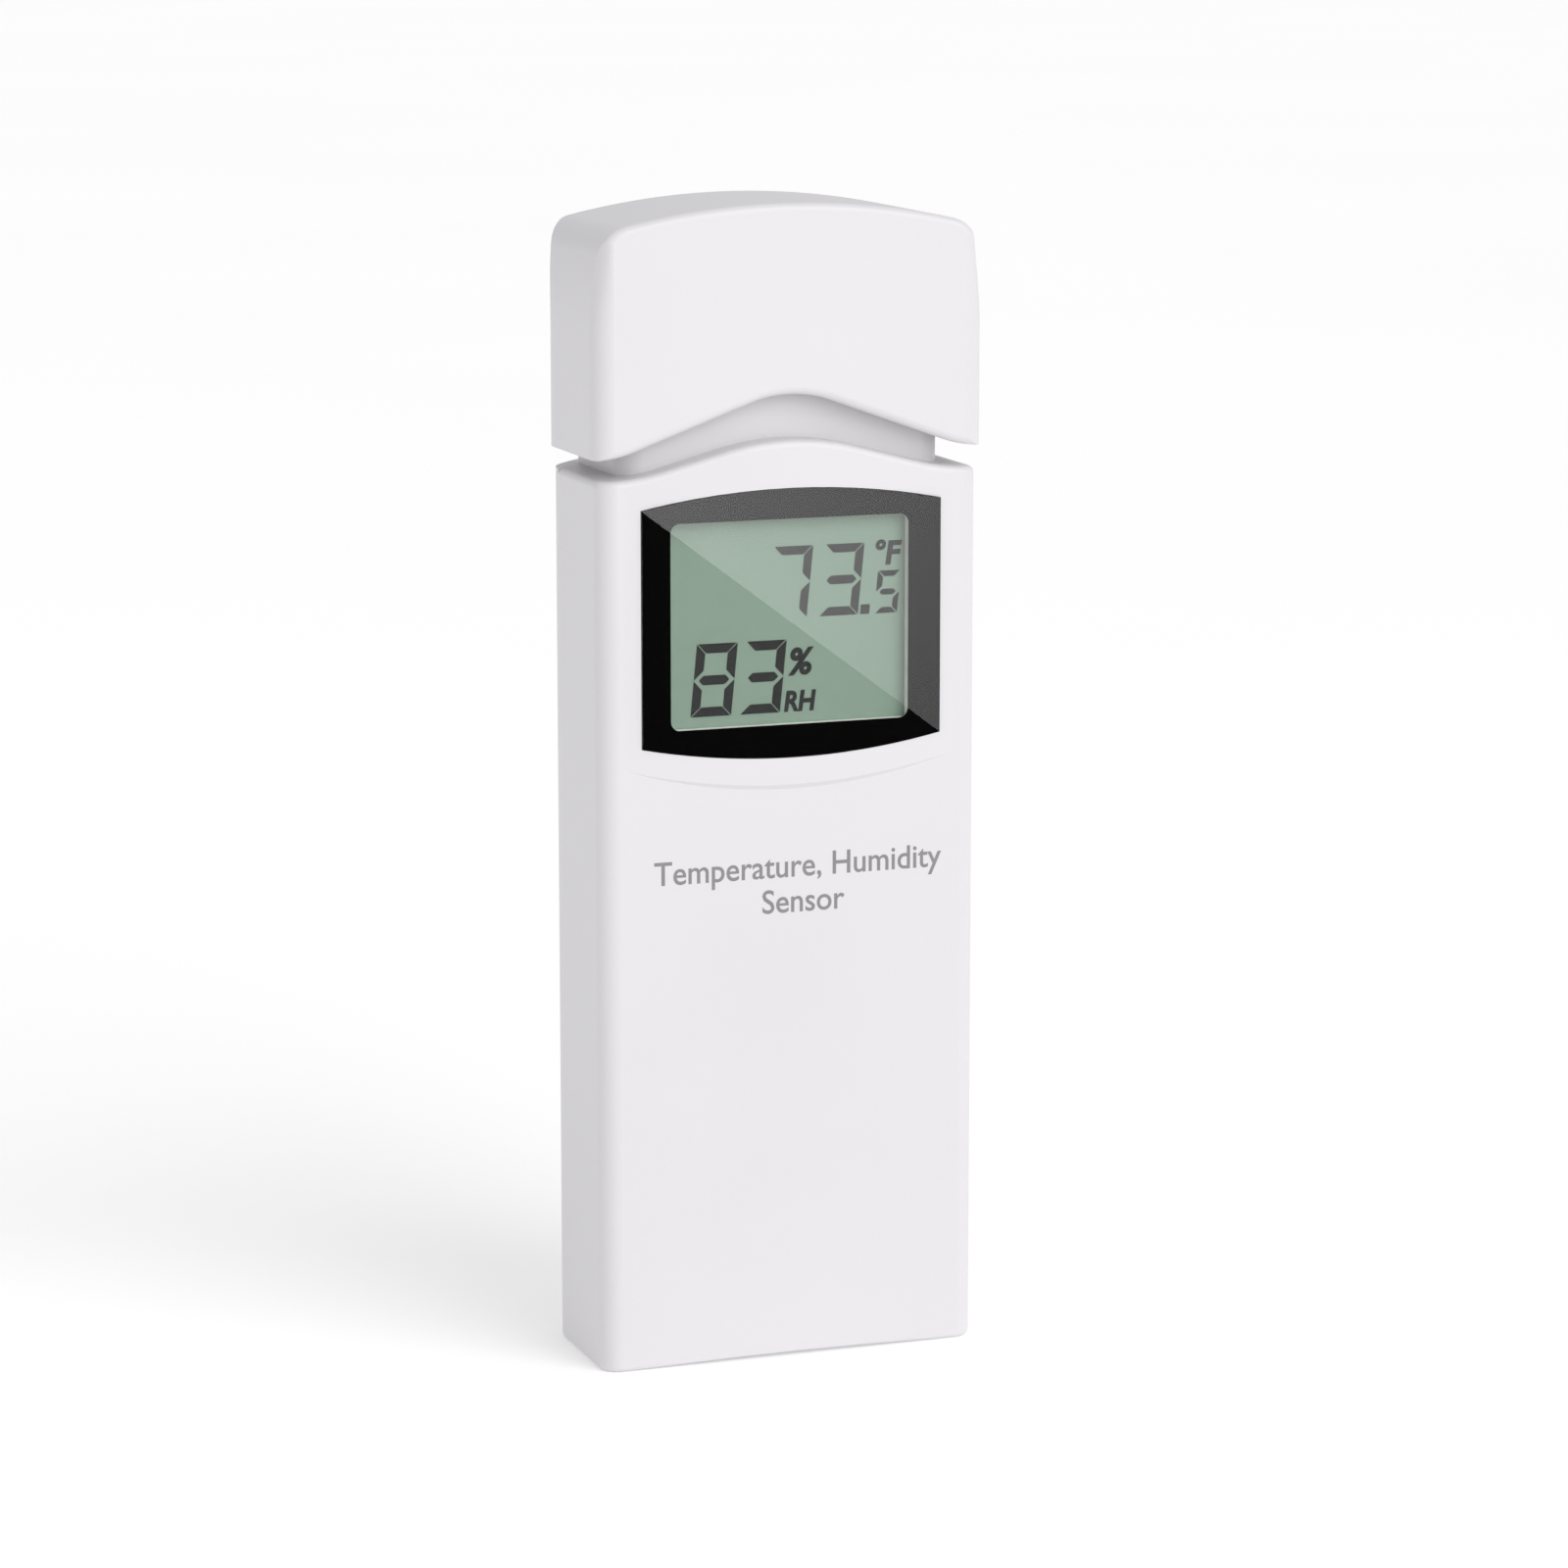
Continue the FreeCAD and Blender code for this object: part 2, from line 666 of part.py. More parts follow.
def make_battery_door():
    body = new_body("BatteryDoor")
    plate = sketch_on(body, "XZ_Plane", "PlateOutline", "-depth / 2")
    add_rectangle(plate, "-door_width / 2", "door_width / 2", DOOR_LOW, DOOR_HIGH)
    pad(body, plate, "Plate", "door_thick")
    tongues = sketch_on(body, "XZ_Plane", "TongueOutline", f"-({DOOR_FRONT}) - tongue_thick")
    wide = "door_width / 2 + tongue_width"
    add_rectangle(tongues, f"-({wide})", wide, DOOR_LOW, DOOR_HIGH)
    pad(body, tongues, "Tongues", "tongue_thick")
    grip = sketch_on(body, "XZ_Plane", "GripOutline", "-depth / 2")
    add_rectangle(grip, "-6", "6", "grip_height - 4.5", "grip_height + 4.5")
    pocket(body, grip, "Grip", "0.6", True)
    rib = sketch_on(body, "XZ_Plane", "RibOutline", "-depth / 2 + 0.6")
    add_rectangle(rib, "-5", "5", "grip_height - 3.4", "grip_height - 2.8")
    pad(body, rib, "Rib", "0.5", True)
    doc.recompute()
    ribs = body.newObject("PartDesign::LinearPattern", "Ribs")
    ribs.Originals = [body.getObject("Rib")]
    ribs.Direction = (rib, ["V_Axis"])
    ribs.Length = 6.2
    ribs.Occurrences = 5
    body.Tip = ribs
    return keep(body, "battery_door")


# ---------------------------------------------------------------- rain hood

def bulge(a, b, turn):
    """The arc from a to b that turns left by an angle in degrees."""
    reach = math.tan(math.radians(turn) / 4) / 2
    middle = ((a[0] + b[0]) / 2 + reach * (b[1] - a[1]), (a[1] + b[1]) / 2 - reach * (b[0] - a[0]))
    return arc(a, middle, b)


def nested_centre(a, reach_a, b, reach_b):
    """The upper right of the two points at the given distances from a and from b."""
    across, up = b[0] - a[0], b[1] - a[1]
    apart = math.hypot(across, up)
    along = (reach_a ** 2 - reach_b ** 2 + apart ** 2) / (2 * apart)
    aside = math.sqrt(reach_a ** 2 - along ** 2)
    choices = [(a[0] + (along * across - sign * aside * up) / apart,
                a[1] + (along * up + sign * aside * across) / apart) for sign in (-1, 1)]
    return max(choices, key=sum)


def onward(start, through, distance):
    """The point at a distance from start, on the way through another point."""
    scale = distance / math.dist(start, through)
    return start[0] + scale * (through[0] - start[0]), start[1] + scale * (through[1] - start[1])


def arc_about(centre, a, b):
    """The shorter arc from a to b about a centre."""
    half_way = ((a[0] + b[0]) / 2, (a[1] + b[1]) / 2)
    return arc(a, onward(centre, half_way, math.dist(centre, a)), b)


def crown_edges():
    """The top of the hood from its right side to its left: bowed sides, round shoulders and a shallow
    crown."""
    side, crown, shoulder = size("hood_side_radius"), size("hood_crown_radius"), size("hood_shoulder_radius")
    start = (size(HOOD_HALF), size("hood_lean_start"))
    side_centre = (start[0] - side, start[1])
    crown_centre = (0, size("total_height") - crown)
    centre = nested_centre(side_centre, side - shoulder, crown_centre, crown - shoulder)
    low = onward(side_centre, centre, side)
    high = onward(crown_centre, centre, crown)

    def left(point):
        return -point[0], point[1]

    return [
        arc_about(side_centre, start, low),
        arc_about(centre, low, high),
        arc_about(crown_centre, high, left(high)),
        arc_about(left(centre), left(high), left(low)),
        arc_about(left(side_centre), left(low), left(start)),
    ]


def hood_block(body):
    """The front outline, with its bell-shaped rim, run through from front to back."""
    half, rim, start = size(HOOD_HALF), size("hood_edge_height"), size("hood_lean_start")
    edges = bell_arch(half, rim, size("hood_edge_rise"), size("hood_edge_slope"))
    edges += [line((half, rim), (half, start))] + crown_edges() + [line((-half, start), (-half, rim))]
    sketch = sketch_on(body, "XZ_Plane", "FrontOutline")
    for edge in edges:
        sketch.addGeometry(edge)
    pad(body, sketch, "Block", "depth").Midplane = True
    fillet(body, "Rounds", "hood_round", lambda e: e.BoundBox.YLength < 0.01)


def ellipse_arc(front_end, side_end):
    """A quarter of an ellipse that leaves the front face flush and meets the side face flush."""
    centre = FreeCAD.Vector(front_end[0], side_end[1], 0)
    ellipse = Part.Ellipse(FreeCAD.Vector(*front_end, 0), FreeCAD.Vector(*side_end, 0), centre)
    first = ellipse.parameter(FreeCAD.Vector(*front_end, 0))
    last = ellipse.parameter(FreeCAD.Vector(*side_end, 0))
    if (last - first) % (2 * math.pi) > math.pi:
        first, last = last, first
    return Part.ArcOfEllipse(ellipse, first, last)


def front_corner_waste(body, name, height, side, lean):
    """What lies outside a front corner at one height: the corner reaches back by its radius and the lean."""
    half, front, across = size(HOOD_HALF), size("-depth / 2"), size("front_corner")
    deep = across + lean + 0.01
    inner, outer, beyond = side * (half - across), side * half, side * (half + 1)
    sketch = sketch_on(body, "XY_Plane", name, height)
    sketch.addGeometry(ellipse_arc((inner, front), (outer, front + deep)))
    path = [(outer, front + deep), (beyond, front + deep), (beyond, front - 1), (inner, front - 1),
            (inner, front)]
    for a, b in zip(path, path[1:]):
        sketch.addGeometry(line(a, b))
    return sketch


def cut_front_corners(body):
    """Round each front corner: evenly along the skirt, and leaning back more and more above it."""
    for side, tag in ((-1, "Left"), (1, "Right")):
        skirt = front_corner_waste(body, f"Skirt{tag}Waste", "hood_edge_height - 1", side, 0)
        pocket(body, skirt, f"Skirt{tag}", "hood_lean_start - hood_edge_height + 1", True)
        sections = []
        for step in range(4):
            rise = f"(total_height + 0.5 - hood_lean_start) * {step} / 3"
            lean = size("hood_lean_rate") * size(rise) ** 2
            sections.append(front_corner_waste(body, f"Lean{tag}{step}", f"hood_lean_start + {rise}",
                                               side, lean))
        loft = body.newObject("PartDesign::SubtractiveLoft", f"Lean{tag}")
        loft.Profile = sections[0]
        loft.Sections = sections[1:]
        doc.recompute()


def cut_rear_corners(body):
    half, back, radius = size(HOOD_HALF), size("depth / 2"), size("rear_corner")
    sketch = sketch_on(body, "XY_Plane", "RearWaste", "hood_edge_height - 1")
    for side in (-1, 1):
        ends = (side * half, back - radius), (side * (half - radius), back)
        sketch.addGeometry(bulge(*ends, 90) if side > 0 else bulge(ends[1], ends[0], 90))
        path = [ends[1], (side * (half - radius), back + 1), (side * (half + 1), back + 1),
                (side * (half + 1), back - radius), ends[0]]
        for a, b in zip(path, path[1:]):
            sketch.addGeometry(line(a, b))
    pocket(body, sketch, "RearCorners", "total_height - hood_edge_height + 2", True)


def hood_room(body):
    """The hollow that stands over the neck, with rounded upper corners."""
    room = sketch_on(body, "XZ_Plane", "RoomOutline", "depth / 2 - wall")
    half, top = size(f"{HOOD_HALF} - wall"), size(ROOM_TOP)
    low, corner = size("hood_edge_height - 2"), size("room_corner")
    right = [line((half, low), (half, top - corner)), bulge((half, top - corner), (half - corner, top), 90)]
    over = line((half - corner, top), (corner - half, top))
    left = [bulge((corner - half, top), (-half, top - corner), 90),
            line((-half, top - corner), (-half, low))]
    for edge in right + [over] + left + [line((-half, low), (half, low))]:
        room.addGeometry(edge)
    pocket(body, room, "Room", f"depth / 2 - wall + {INNER_BACK}")


def keyhole(body):
    """The hanging hole in the back: a round entry for a screw head, and a slot above it for the shank."""
    entry = sketch_on(body, "XZ_Plane", "EntryOutline", "-depth / 2")
    add_circle(entry, "0", "keyhole_height", "keyhole_radius")
    pocket(body, entry, "Entry", "wall + 0.2", True)
    slot = sketch_on(body, "XZ_Plane", "SlotOutline", "-depth / 2")
    add_rectangle(slot, "-keyhole_slot / 2", "keyhole_slot / 2", "keyhole_height",
                  "keyhole_height + keyhole_rise")
    pocket(body, slot, "Slot", "wall + 0.2", True)
    end = sketch_on(body, "XZ_Plane", "SlotEndOutline", "-depth / 2")
    add_circle(end, "0", "keyhole_height + keyhole_rise", "keyhole_slot / 2")
    pocket(body, end, "SlotEnd", "wall + 0.2", True)


def make_hood():
    body = new_body("Hood")
    hood_block(body)
    cut_front_corners(body)
    cut_rear_corners(body)
    hood_room(body)
    keyhole(body)
    add_holes(body, HOOD_SCREWS, "-depth / 2", "screw_radius + slide_gap", "wall + 0.2", "ScrewHoles", True)
    add_holes(body, HOOD_SCREWS, "-depth / 2", "head_radius + slide_gap", "head_thick", "HeadSeats", True)
    return keep(body, "hood")


# ---------------------------------------------------------------- display

def barrel_plate(name, front, thick, gap):
    """A plate of the window's outline, from a front plane backwards."""
    body = new_body(name)
    sketch = sketch_on(body, "XZ_Plane", "Outline", f"-({front})")
    half = size("window_width / 2") - gap
    add_barrel(sketch, half, size("window_low") + gap, size("window_high") - gap, size("window_arc_rise"))
    pad(body, sketch, "Plate", thick, True)
    return body


def make_window():
    """The clear lens, and the black ink film on its back that borders the display."""
    lens = barrel_plate("DisplayWindow", "-depth / 2 + seat_gap", "lens_thick", 0)
    keep(lens, "display_window")
    mask = barrel_plate("WindowMask", LENS_BACK, "mask_thick", 0)
    view = sketch_on(mask, "XZ_Plane", "ViewOutline", f"-({LENS_BACK})")
    add_rectangle(view, "-view_width / 2", "view_width / 2", "view_low", "view_high")
    pocket(mask, view, "View", "mask_thick + 0.1")
    fillet(mask, "ViewCorners", "1.0", is_view_corner)
    keep(mask, "window_mask")


def is_view_corner(edge):
    """Whether an edge runs front to back at a corner of the viewing area."""
    bounds = edge.BoundBox
    return (bounds.YLength > 0.1 and bounds.XLength < 0.01
            and abs(abs(bounds.XMin) - size("view_width / 2")) < 0.01
            and bounds.ZLength < 0.01 and bounds.ZMin > size("view_low") - 0.1)


GLASS_FRONT = "-depth / 2 + pad_height + wall + gasket_thick"
GLASS_BACK = f"{GLASS_FRONT} + glass_thick"
GLASS_TALL = "glass_high - glass_low"


def make_display():
    half = "glass_width / 2"
    keep(box("LcdGlass", f"-{half}", GLASS_FRONT, "glass_low", "glass_width", "glass_thick", GLASS_TALL),
         "lcd_glass")
    keep(box("LcdReflector", f"-{half} + 0.8", GLASS_BACK, "glass_low + strip_height + 0.6",
             "glass_width - 1.6",
             "reflector_thick", f"{GLASS_TALL} - 2 * strip_height - 1.2"), "lcd_reflector")
    outer = box("GasketOuter", f"-{half} + 0.3", f"{INNER_FRONT}", "glass_low + 0.3", "glass_width - 0.6",
                "gasket_thick", f"{GLASS_TALL} - 0.6")
    inner = box("GasketInner", "-view_width / 2 - 0.2", f"{INNER_FRONT} - 1", "view_low - 0.4",
                "view_width + 0.4",
                "gasket_thick + 2", "view_high - view_low + 0.8")
    keep(cut("DisplayGasket", outer, inner), "display_gasket")


def make_lcd_frame():
    """The frame that centres the glass and holds the two connector strips against the board."""
    rim, gap = "frame_rim", "slide_gap"
    outer = box("FrameOuter", f"-glass_width / 2 - {rim}", f"{INNER_FRONT} + seat_gap", f"glass_low - {rim}",
                f"glass_width + 2 * {rim}", f"-board_front - ({INNER_FRONT}) - seat_gap",
                f"{GLASS_TALL} + 2 * {rim}")
    seat = box("FrameSeat", f"-glass_width / 2 - {gap}", f"{INNER_FRONT} - 1", f"glass_low - {gap}",
               f"glass_width + 2 * {gap}", f"{GLASS_BACK} - ({INNER_FRONT}) + 1",
               f"{GLASS_TALL} + 2 * {gap}")
    hole = box("FrameHole", "-glass_width / 2 + 0.7", f"{GLASS_BACK} - 1", "glass_low + 0.3",
               "glass_width - 1.4", "board_front + 5", f"{GLASS_TALL} - 0.6")
    keep(cut("LcdFrame", outer, join("FrameRoom", [seat, hole])), "lcd_frame")


def make_strips():
    """Elastomer strips that join the glass to the board along its top and bottom edges."""
    deep = f"-board_front - ({GLASS_BACK})"
    for name, low in (("bottom", "glass_low + 0.4"), ("top", "glass_high - 0.4 - strip_height")):
        strip = box(f"Strip{name.title()}", "-glass_width / 2 + 1", GLASS_BACK, low, "glass_width - 2", deep,
                    "strip_height")
        keep(strip, f"lcd_strip_{name}")


# ---------------------------------------------------------------- main board and what it carries

def board_holes():
    return [rod(f"BoardHole{n}", x, "-board_front - 1", z, "screw_radius + slide_gap", "board_thick + 2",
                "+Y")
            for n, (x, z) in enumerate(BOARD_SCREWS)]


def make_main_board():
    plate = box("BoardPlate", "-board_width / 2", "-board_front", "board_low", "board_width", "board_thick",
                "board_high - board_low")
    keep(cut("MainBoard", plate, join("BoardHoles", board_holes())), "main_board")


def make_controller():
    """The resin cap over the controller chip, on the front of the board."""
    cap = doc.addObject("Part::Sphere", "ControllerBlob")
    cap.Placement.Rotation = TURNS["-Y"]
    bind(cap, "Radius", "9.6")
    cap.Angle1 = math.degrees(math.asin(8.2 / 9.6))
    cap.Angle2 = 90
    place(cap, "0", "-board_front + 8.2", "77")
    keep(cap, "controller_blob")


def make_board_parts():
    back = BOARD_BACK
    keep(rod("ClockCrystal", "-4", f"{back} + 1", "74.6", "1", "6", "+X"), "clock_crystal")
    cans = [rod(f"Can{n}", x, back, z, "2", "5.2", "+Y") for n,
            (x, z) in enumerate((("3.6", "79"), ("3.6", "84")))]
    keep(group("Capacitors", cans), "capacitors")
    pins = [box(f"ModulePin{n}", f"-13.2 + {2.0 * n}", back, "77", "0.6", "2.5", "0.6") for n in range(6)]
    keep(group("ModulePins", pins), "module_pins")
    keep(box("RadioModule", "-14", f"{back} + 2.5", "76", "13", "0.8", "11"), "radio_module")
    can = [box("RadioCan", "-12.5", f"{back} + 3.3", "79.5", "4.5", "1.6", "3.2"),
           box("RadioChip", "-6.5", f"{back} + 3.3", "80.5", "4", "1.2", "4")]
    keep(group("RadioParts", can), "radio_parts")


def coil(name, radius, wire, rise, turns):
    """A round wire wound as a helix that starts at the origin's height."""
    path = doc.addObject("Part::Helix", f"{name}Path")
    bind(path, "Radius", radius)
    bind(path, "Height", rise)
    bind(path, "Pitch", f"({rise}) / ({turns})")
    path.SegmentLength = 0.5
    doc.recompute()
    ring = doc.addObject("Part::Circle", f"{name}Section")
    bind(ring, "Radius", wire)
    ring.Placement.Rotation = FreeCAD.Rotation(FreeCAD.Vector(1, 0, 0), 90)
    bind(ring, "Placement.Base.x", radius)
    sweep = doc.addObject("Part::Sweep", name)
    sweep.Sections = [ring]
    sweep.Spine = (path, [f"Edge{i + 1}" for i in range(len(path.Shape.Edges))])
    sweep.Solid = True
    sweep.Frenet = True
    return sweep


def make_antenna():
    item = coil("AntennaCoil", "2.2", "0.3", "12", "8")
    place(item, "10", f"{BOARD_BACK} + 2.5", "75")
    keep(item, "antenna_coil")


# ---------------------------------------------------------------- switches

def dip_column(number):
    """The middle of one of the four switch ways, left to right."""
    return f"dip_x + dip_pitch * {number - 1.5}"


DIP_FACE = f"{BOARD_BACK} + dip_depth"


def make_dip_switch():
    block = box("DipBlock", "dip_x - dip_pitch * 2", BOARD_BACK, "control_height - dip_height / 2",
                "dip_pitch * 4",
                "dip_depth", "dip_height")
    rooms = []
    wide, long = "lever_size + 2 * slide_gap", "lever_size + lever_travel + 2 * slide_gap"
    for number in range(4):
        x = dip_column(number)
        rooms.append(box(f"DipSlot{number}", f"{x} - ({wide}) / 2", f"{DIP_FACE} - 1.1",
                         f"control_height - ({long}) / 2",
                         wide, "2", long))
        rooms.append(box(f"DipRoom{number}", f"{x} - ({wide}) / 2 - 0.3", f"{DIP_FACE} - 1.7",
                         f"control_height - ({long}) / 2 - 0.3", f"{wide} + 0.6", "0.7", f"{long} + 0.6"))
    keep(cut("DipSwitch", block, join("DipRooms", rooms)), "dip_switch")


def make_dip_levers():
    """Four levers, each with a broad foot under its slot. The first two stand low and the others high."""
    for number in range(4):
        x = dip_column(number)
        start = "-1" if number < 2 else "1"
        middle = f"control_height + {start} * lever_travel / 2"
        stem = box(f"LeverStem{number}", f"{x} - lever_size / 2", f"{DIP_FACE} - 1.6",
                   f"{middle} - lever_size / 2",
                   "lever_size", "2.5", "lever_size")
        foot = box(f"LeverFoot{number}", f"{x} - lever_size / 2 - 0.3", f"{DIP_FACE} - 1.6",
                   f"{middle} - lever_size / 2 - 0.3", "lever_size + 0.6", "0.5", "lever_size + 0.6")
        keep(join(f"DipLever{number}", [stem, foot]), f"dip_lever_{number + 1}")


def make_reset():
    keep(box("ResetSwitch", "reset_x - 3", BOARD_BACK, "control_height - 3", "6", "2.2", "6"),
         "reset_switch")
    flange = rod("ResetFlange", "reset_x", f"{PANEL_FRONT} - slide_gap - 0.5", "control_height",
                 "reset_radius + 0.7",
                 "0.5", "+Y")
    stem = rod("ResetStem", "reset_x", f"{PANEL_FRONT} - slide_gap - 0.5", "control_height", "reset_radius",
               "panel_thick + slide_gap + 1.2", "+Y")
    keep(join("ResetPlunger", [flange, stem]), "reset_plunger")


# ---------------------------------------------------------------- cells and contacts

LEFT_CELL_LOW = "bay_bottom + contact_thick + spring_room"
RIGHT_CELL_LOW = "bay_bottom + contact_thick"


def make_cell(name, label, x, low, nub_up):
    """A cell with its positive nub at the top or at the bottom."""
    can_low = low if nub_up else f"{low} + nub_length"
    nub_low = f"{low} + cell_length - nub_length" if nub_up else low
    can = rod(f"{name}Can", x, CELL_AXIS_Y, can_low, "cell_diameter / 2", "cell_length - nub_length")
    nub = rod(f"{name}Nub", x, CELL_AXIS_Y, nub_low, "nub_radius", "nub_length")
    keep(join(name, [can, nub]), label)


def make_cells():
    make_cell("CellLeft", "cell_left", f"-({CELL_X})", LEFT_CELL_LOW, True)
    make_cell("CellRight", "cell_right", CELL_X, RIGHT_CELL_LOW, False)


def contact_plate(name, left, right, low, tab):
    """A plate across the bay, with a solder tab through the bay's top when the tab has a place."""
    plate = box(f"{name}Plate", left, f"{CELL_AXIS_Y} - 4", low, f"({right}) - ({left})", "8",
                "contact_thick")
    if tab is None:
        return plate
    lug = box(f"{name}Tab", f"{tab} - 1", f"{CELL_AXIS_Y} - 0.2", low, "2", "0.4",
              "contact_thick + bay_wall + 0.8")
    return join(name, [plate, lug])


def make_contacts():
    side = f"{BAY_SIDE} - 1"
    top = f"{BAY_TOP} - contact_thick"
    keep(contact_plate("BridgeContact", f"-({side})", side, "bay_bottom", None), "bridge_contact")
    keep(contact_plate("PositiveContact", f"-({side})", "-2", top, f"-({CELL_X})"), "positive_contact")
    keep(contact_plate("NegativeContact", "2", side, top, CELL_X), "negative_contact")


def make_springs():
    """The coil spring at each cell's flat end, pressed to its working length."""
    rise = "spring_room - 2 * spring_wire"
    places = (("left", f"-({CELL_X})", "bay_bottom + contact_thick + spring_wire"),
              ("right", CELL_X, f"{RIGHT_CELL_LOW} + cell_length + spring_wire"))
    for name, x, low in places:
        item = coil(f"Spring{name.title()}", "spring_radius", "spring_wire", rise, "spring_turns")
        place(item, x, CELL_AXIS_Y, low)
        keep(item, f"cell_spring_{name}")


def lead(name, x):
    """A short insulated lead: up from its contact's tab, then forward to the back of the board."""
    x, low = size(x), size(f"{BAY_TOP} + bay_wall + 0.8")
    start, end = size(CELL_AXIS_Y), size(BOARD_BACK)
    radius = 0.8
    corner = low + 2.2
    straight = Part.LineSegment(FreeCAD.Vector(x, start, low),
                                FreeCAD.Vector(x, start, corner - radius)).toShape()
    turn = 1 - math.sqrt(0.5)
    bend = Part.Arc(FreeCAD.Vector(x, start, corner - radius), FreeCAD.Vector(x, start - radius * turn,
                    corner - radius * turn), FreeCAD.Vector(x, start - radius, corner)).toShape()
    reach = Part.LineSegment(FreeCAD.Vector(x, start - radius, corner),
                             FreeCAD.Vector(x, end, corner)).toShape()
    section = Part.Wire([Part.Circle(FreeCAD.Vector(x, start, low), FreeCAD.Vector(0, 0, 1),
                                     0.45).toShape()])
    item = doc.addObject("Part::Feature", name)
    item.Shape = Part.Wire([straight, bend, reach]).makePipeShell([section], True, True)
    return item


def make_leads():
    keep(lead("LeadRed", f"-({CELL_X})"), "lead_red")
    keep(lead("LeadBlack", CELL_X), "lead_black")


# ---------------------------------------------------------------- sensor in the neck

def make_sensor():
    front, back = "-board_front", "-board_front + sensor_board_thick"
    keep(box("SensorBoard", "-sensor_board_width / 2", front, "sensor_board_low", "sensor_board_width",
             "sensor_board_thick", "sensor_board_high - sensor_board_low"), "sensor_board")
    keep(box("HumiditySensor", "-4.5", back, "98.6", "5", "1.5", "4"), "humidity_sensor")
    bead = doc.addObject("Part::Sphere", "TemperatureBead")
    bead.Radius = 1.1
    place(bead, "4", f"{back} + 1.1", "101.6")
    keep(bead, "temperature_bead")
    pins = [rod(f"SensorPin{n}", f"-3 + {2 * n}", f"{front} - 0.3", "sensor_board_low - 3.4", "0.3", "6")
            for n in range(4)]
    keep(group("SensorPins", pins), "sensor_pins")


def make_meshes():
    """Fine mesh behind the air slots, against the inside of each neck wall."""
    inner = "neck_width / 2 - neck_wall"
    tall, deep = "7.4", f"{PART_LINE} - 0.6 + neck_front - neck_corner - 0.2"
    for side, x in (("left", f"-({inner})"), ("right", f"{inner} - 0.3")):
        mesh = box(f"Mesh{side.title()}", x, "-neck_front + neck_corner + 0.2", "shoulder_height + 4.6",
                   "0.3", deep, tall)
        keep(mesh, f"vent_mesh_{side}")


# ---------------------------------------------------------------- screws

def screw(name, x, z, head_back, length):
    """A screw that is driven from the back: a flat head, a shank and a cross recess."""
    head = rod(f"{name}Head", x, head_back, z, "head_radius", "head_thick", "-Y")
    shank = rod(f"{name}Shank", x, f"{head_back} - head_thick", z, "screw_radius", length, "-Y")
    whole = join(f"{name}Whole", [head, shank])
    bars = [box(f"{name}BarA", f"{x} - 0.9", f"{head_back} - 0.6", f"{z} - 0.2", "1.8", "1", "0.4"),
            box(f"{name}BarB", f"{x} - 0.2", f"{head_back} - 0.6", f"{z} - 0.9", "0.4", "1", "1.8")]
    return cut(name, whole, join(f"{name}Cross", bars))


def make_screws(label, title, places, head_back, length):
    keep(group(title, [screw(f"{title}{n}", x, z, head_back, length) for n, (x, z) in enumerate(places)]),
         label)


def make_all_screws():
    make_screws("case_screws", "CaseScrews", CASE_SCREWS, "depth / 2 - head_sink", "7.5")
    make_screws("hood_screws", "HoodScrews", HOOD_SCREWS, "depth / 2", "3.6")
    make_screws("board_screws", "BoardScrews", BOARD_SCREWS, f"{BOARD_BACK} + head_thick", "3.6")


# ---------------------------------------------------------------- build

def check_document():
    """Stop if anything in the document failed or a sub-part is empty or not valid."""
    doc.recompute()
    for item in doc.Objects:
        if "Invalid" in item.State or "Error" in item.State:
            raise RuntimeError(f"{item.Name} failed: {item.State}")
    bad = [item.Label for item in SUB_PARTS
           if item.Shape.isNull() or not item.Shape.isValid() or not item.Shape.Solids]
    if bad:
        raise RuntimeError(f"empty or not valid: {bad}")


def write_parts():
    os.makedirs("parts", exist_ok=True)
    for item in SUB_PARTS:
        item.Shape.exportStep(f"parts/{item.Label}.step")
        print(f"{item.Label}: {len(item.Shape.Solids)} solid(s), {item.Shape.Volume:.1f} mm3")


fill_sheet()
make_front_shell()
make_back_shell()
make_battery_door()
make_hood()
make_window()
make_display()
make_lcd_frame()
make_strips()
make_main_board()
make_controller()
make_board_parts()
make_antenna()
make_dip_switch()
make_dip_levers()
make_reset()
make_cells()
make_contacts()
make_springs()
make_leads()
make_sensor()
make_meshes()
make_all_screws()
check_document()
write_parts()
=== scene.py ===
# %% [markdown]
# # Dressing a wireless thermo-hygrometer
# The object is a slim white plastic box that hangs on a wall outdoors. A window in its front shows the
# temperature and the humidity, and a bell-edged rain hood keeps drops out of the vents in its neck.
# The engineering model gives every part's place and motion. This lesson gives the parts their surfaces,
# and adds the fine pieces that an engineer leaves out: the printing, the digits, the cells' jackets and
# the pale lip round the display.

# %% Load the model
import math

import bmesh
import bpy
from mathutils import Matrix, Vector


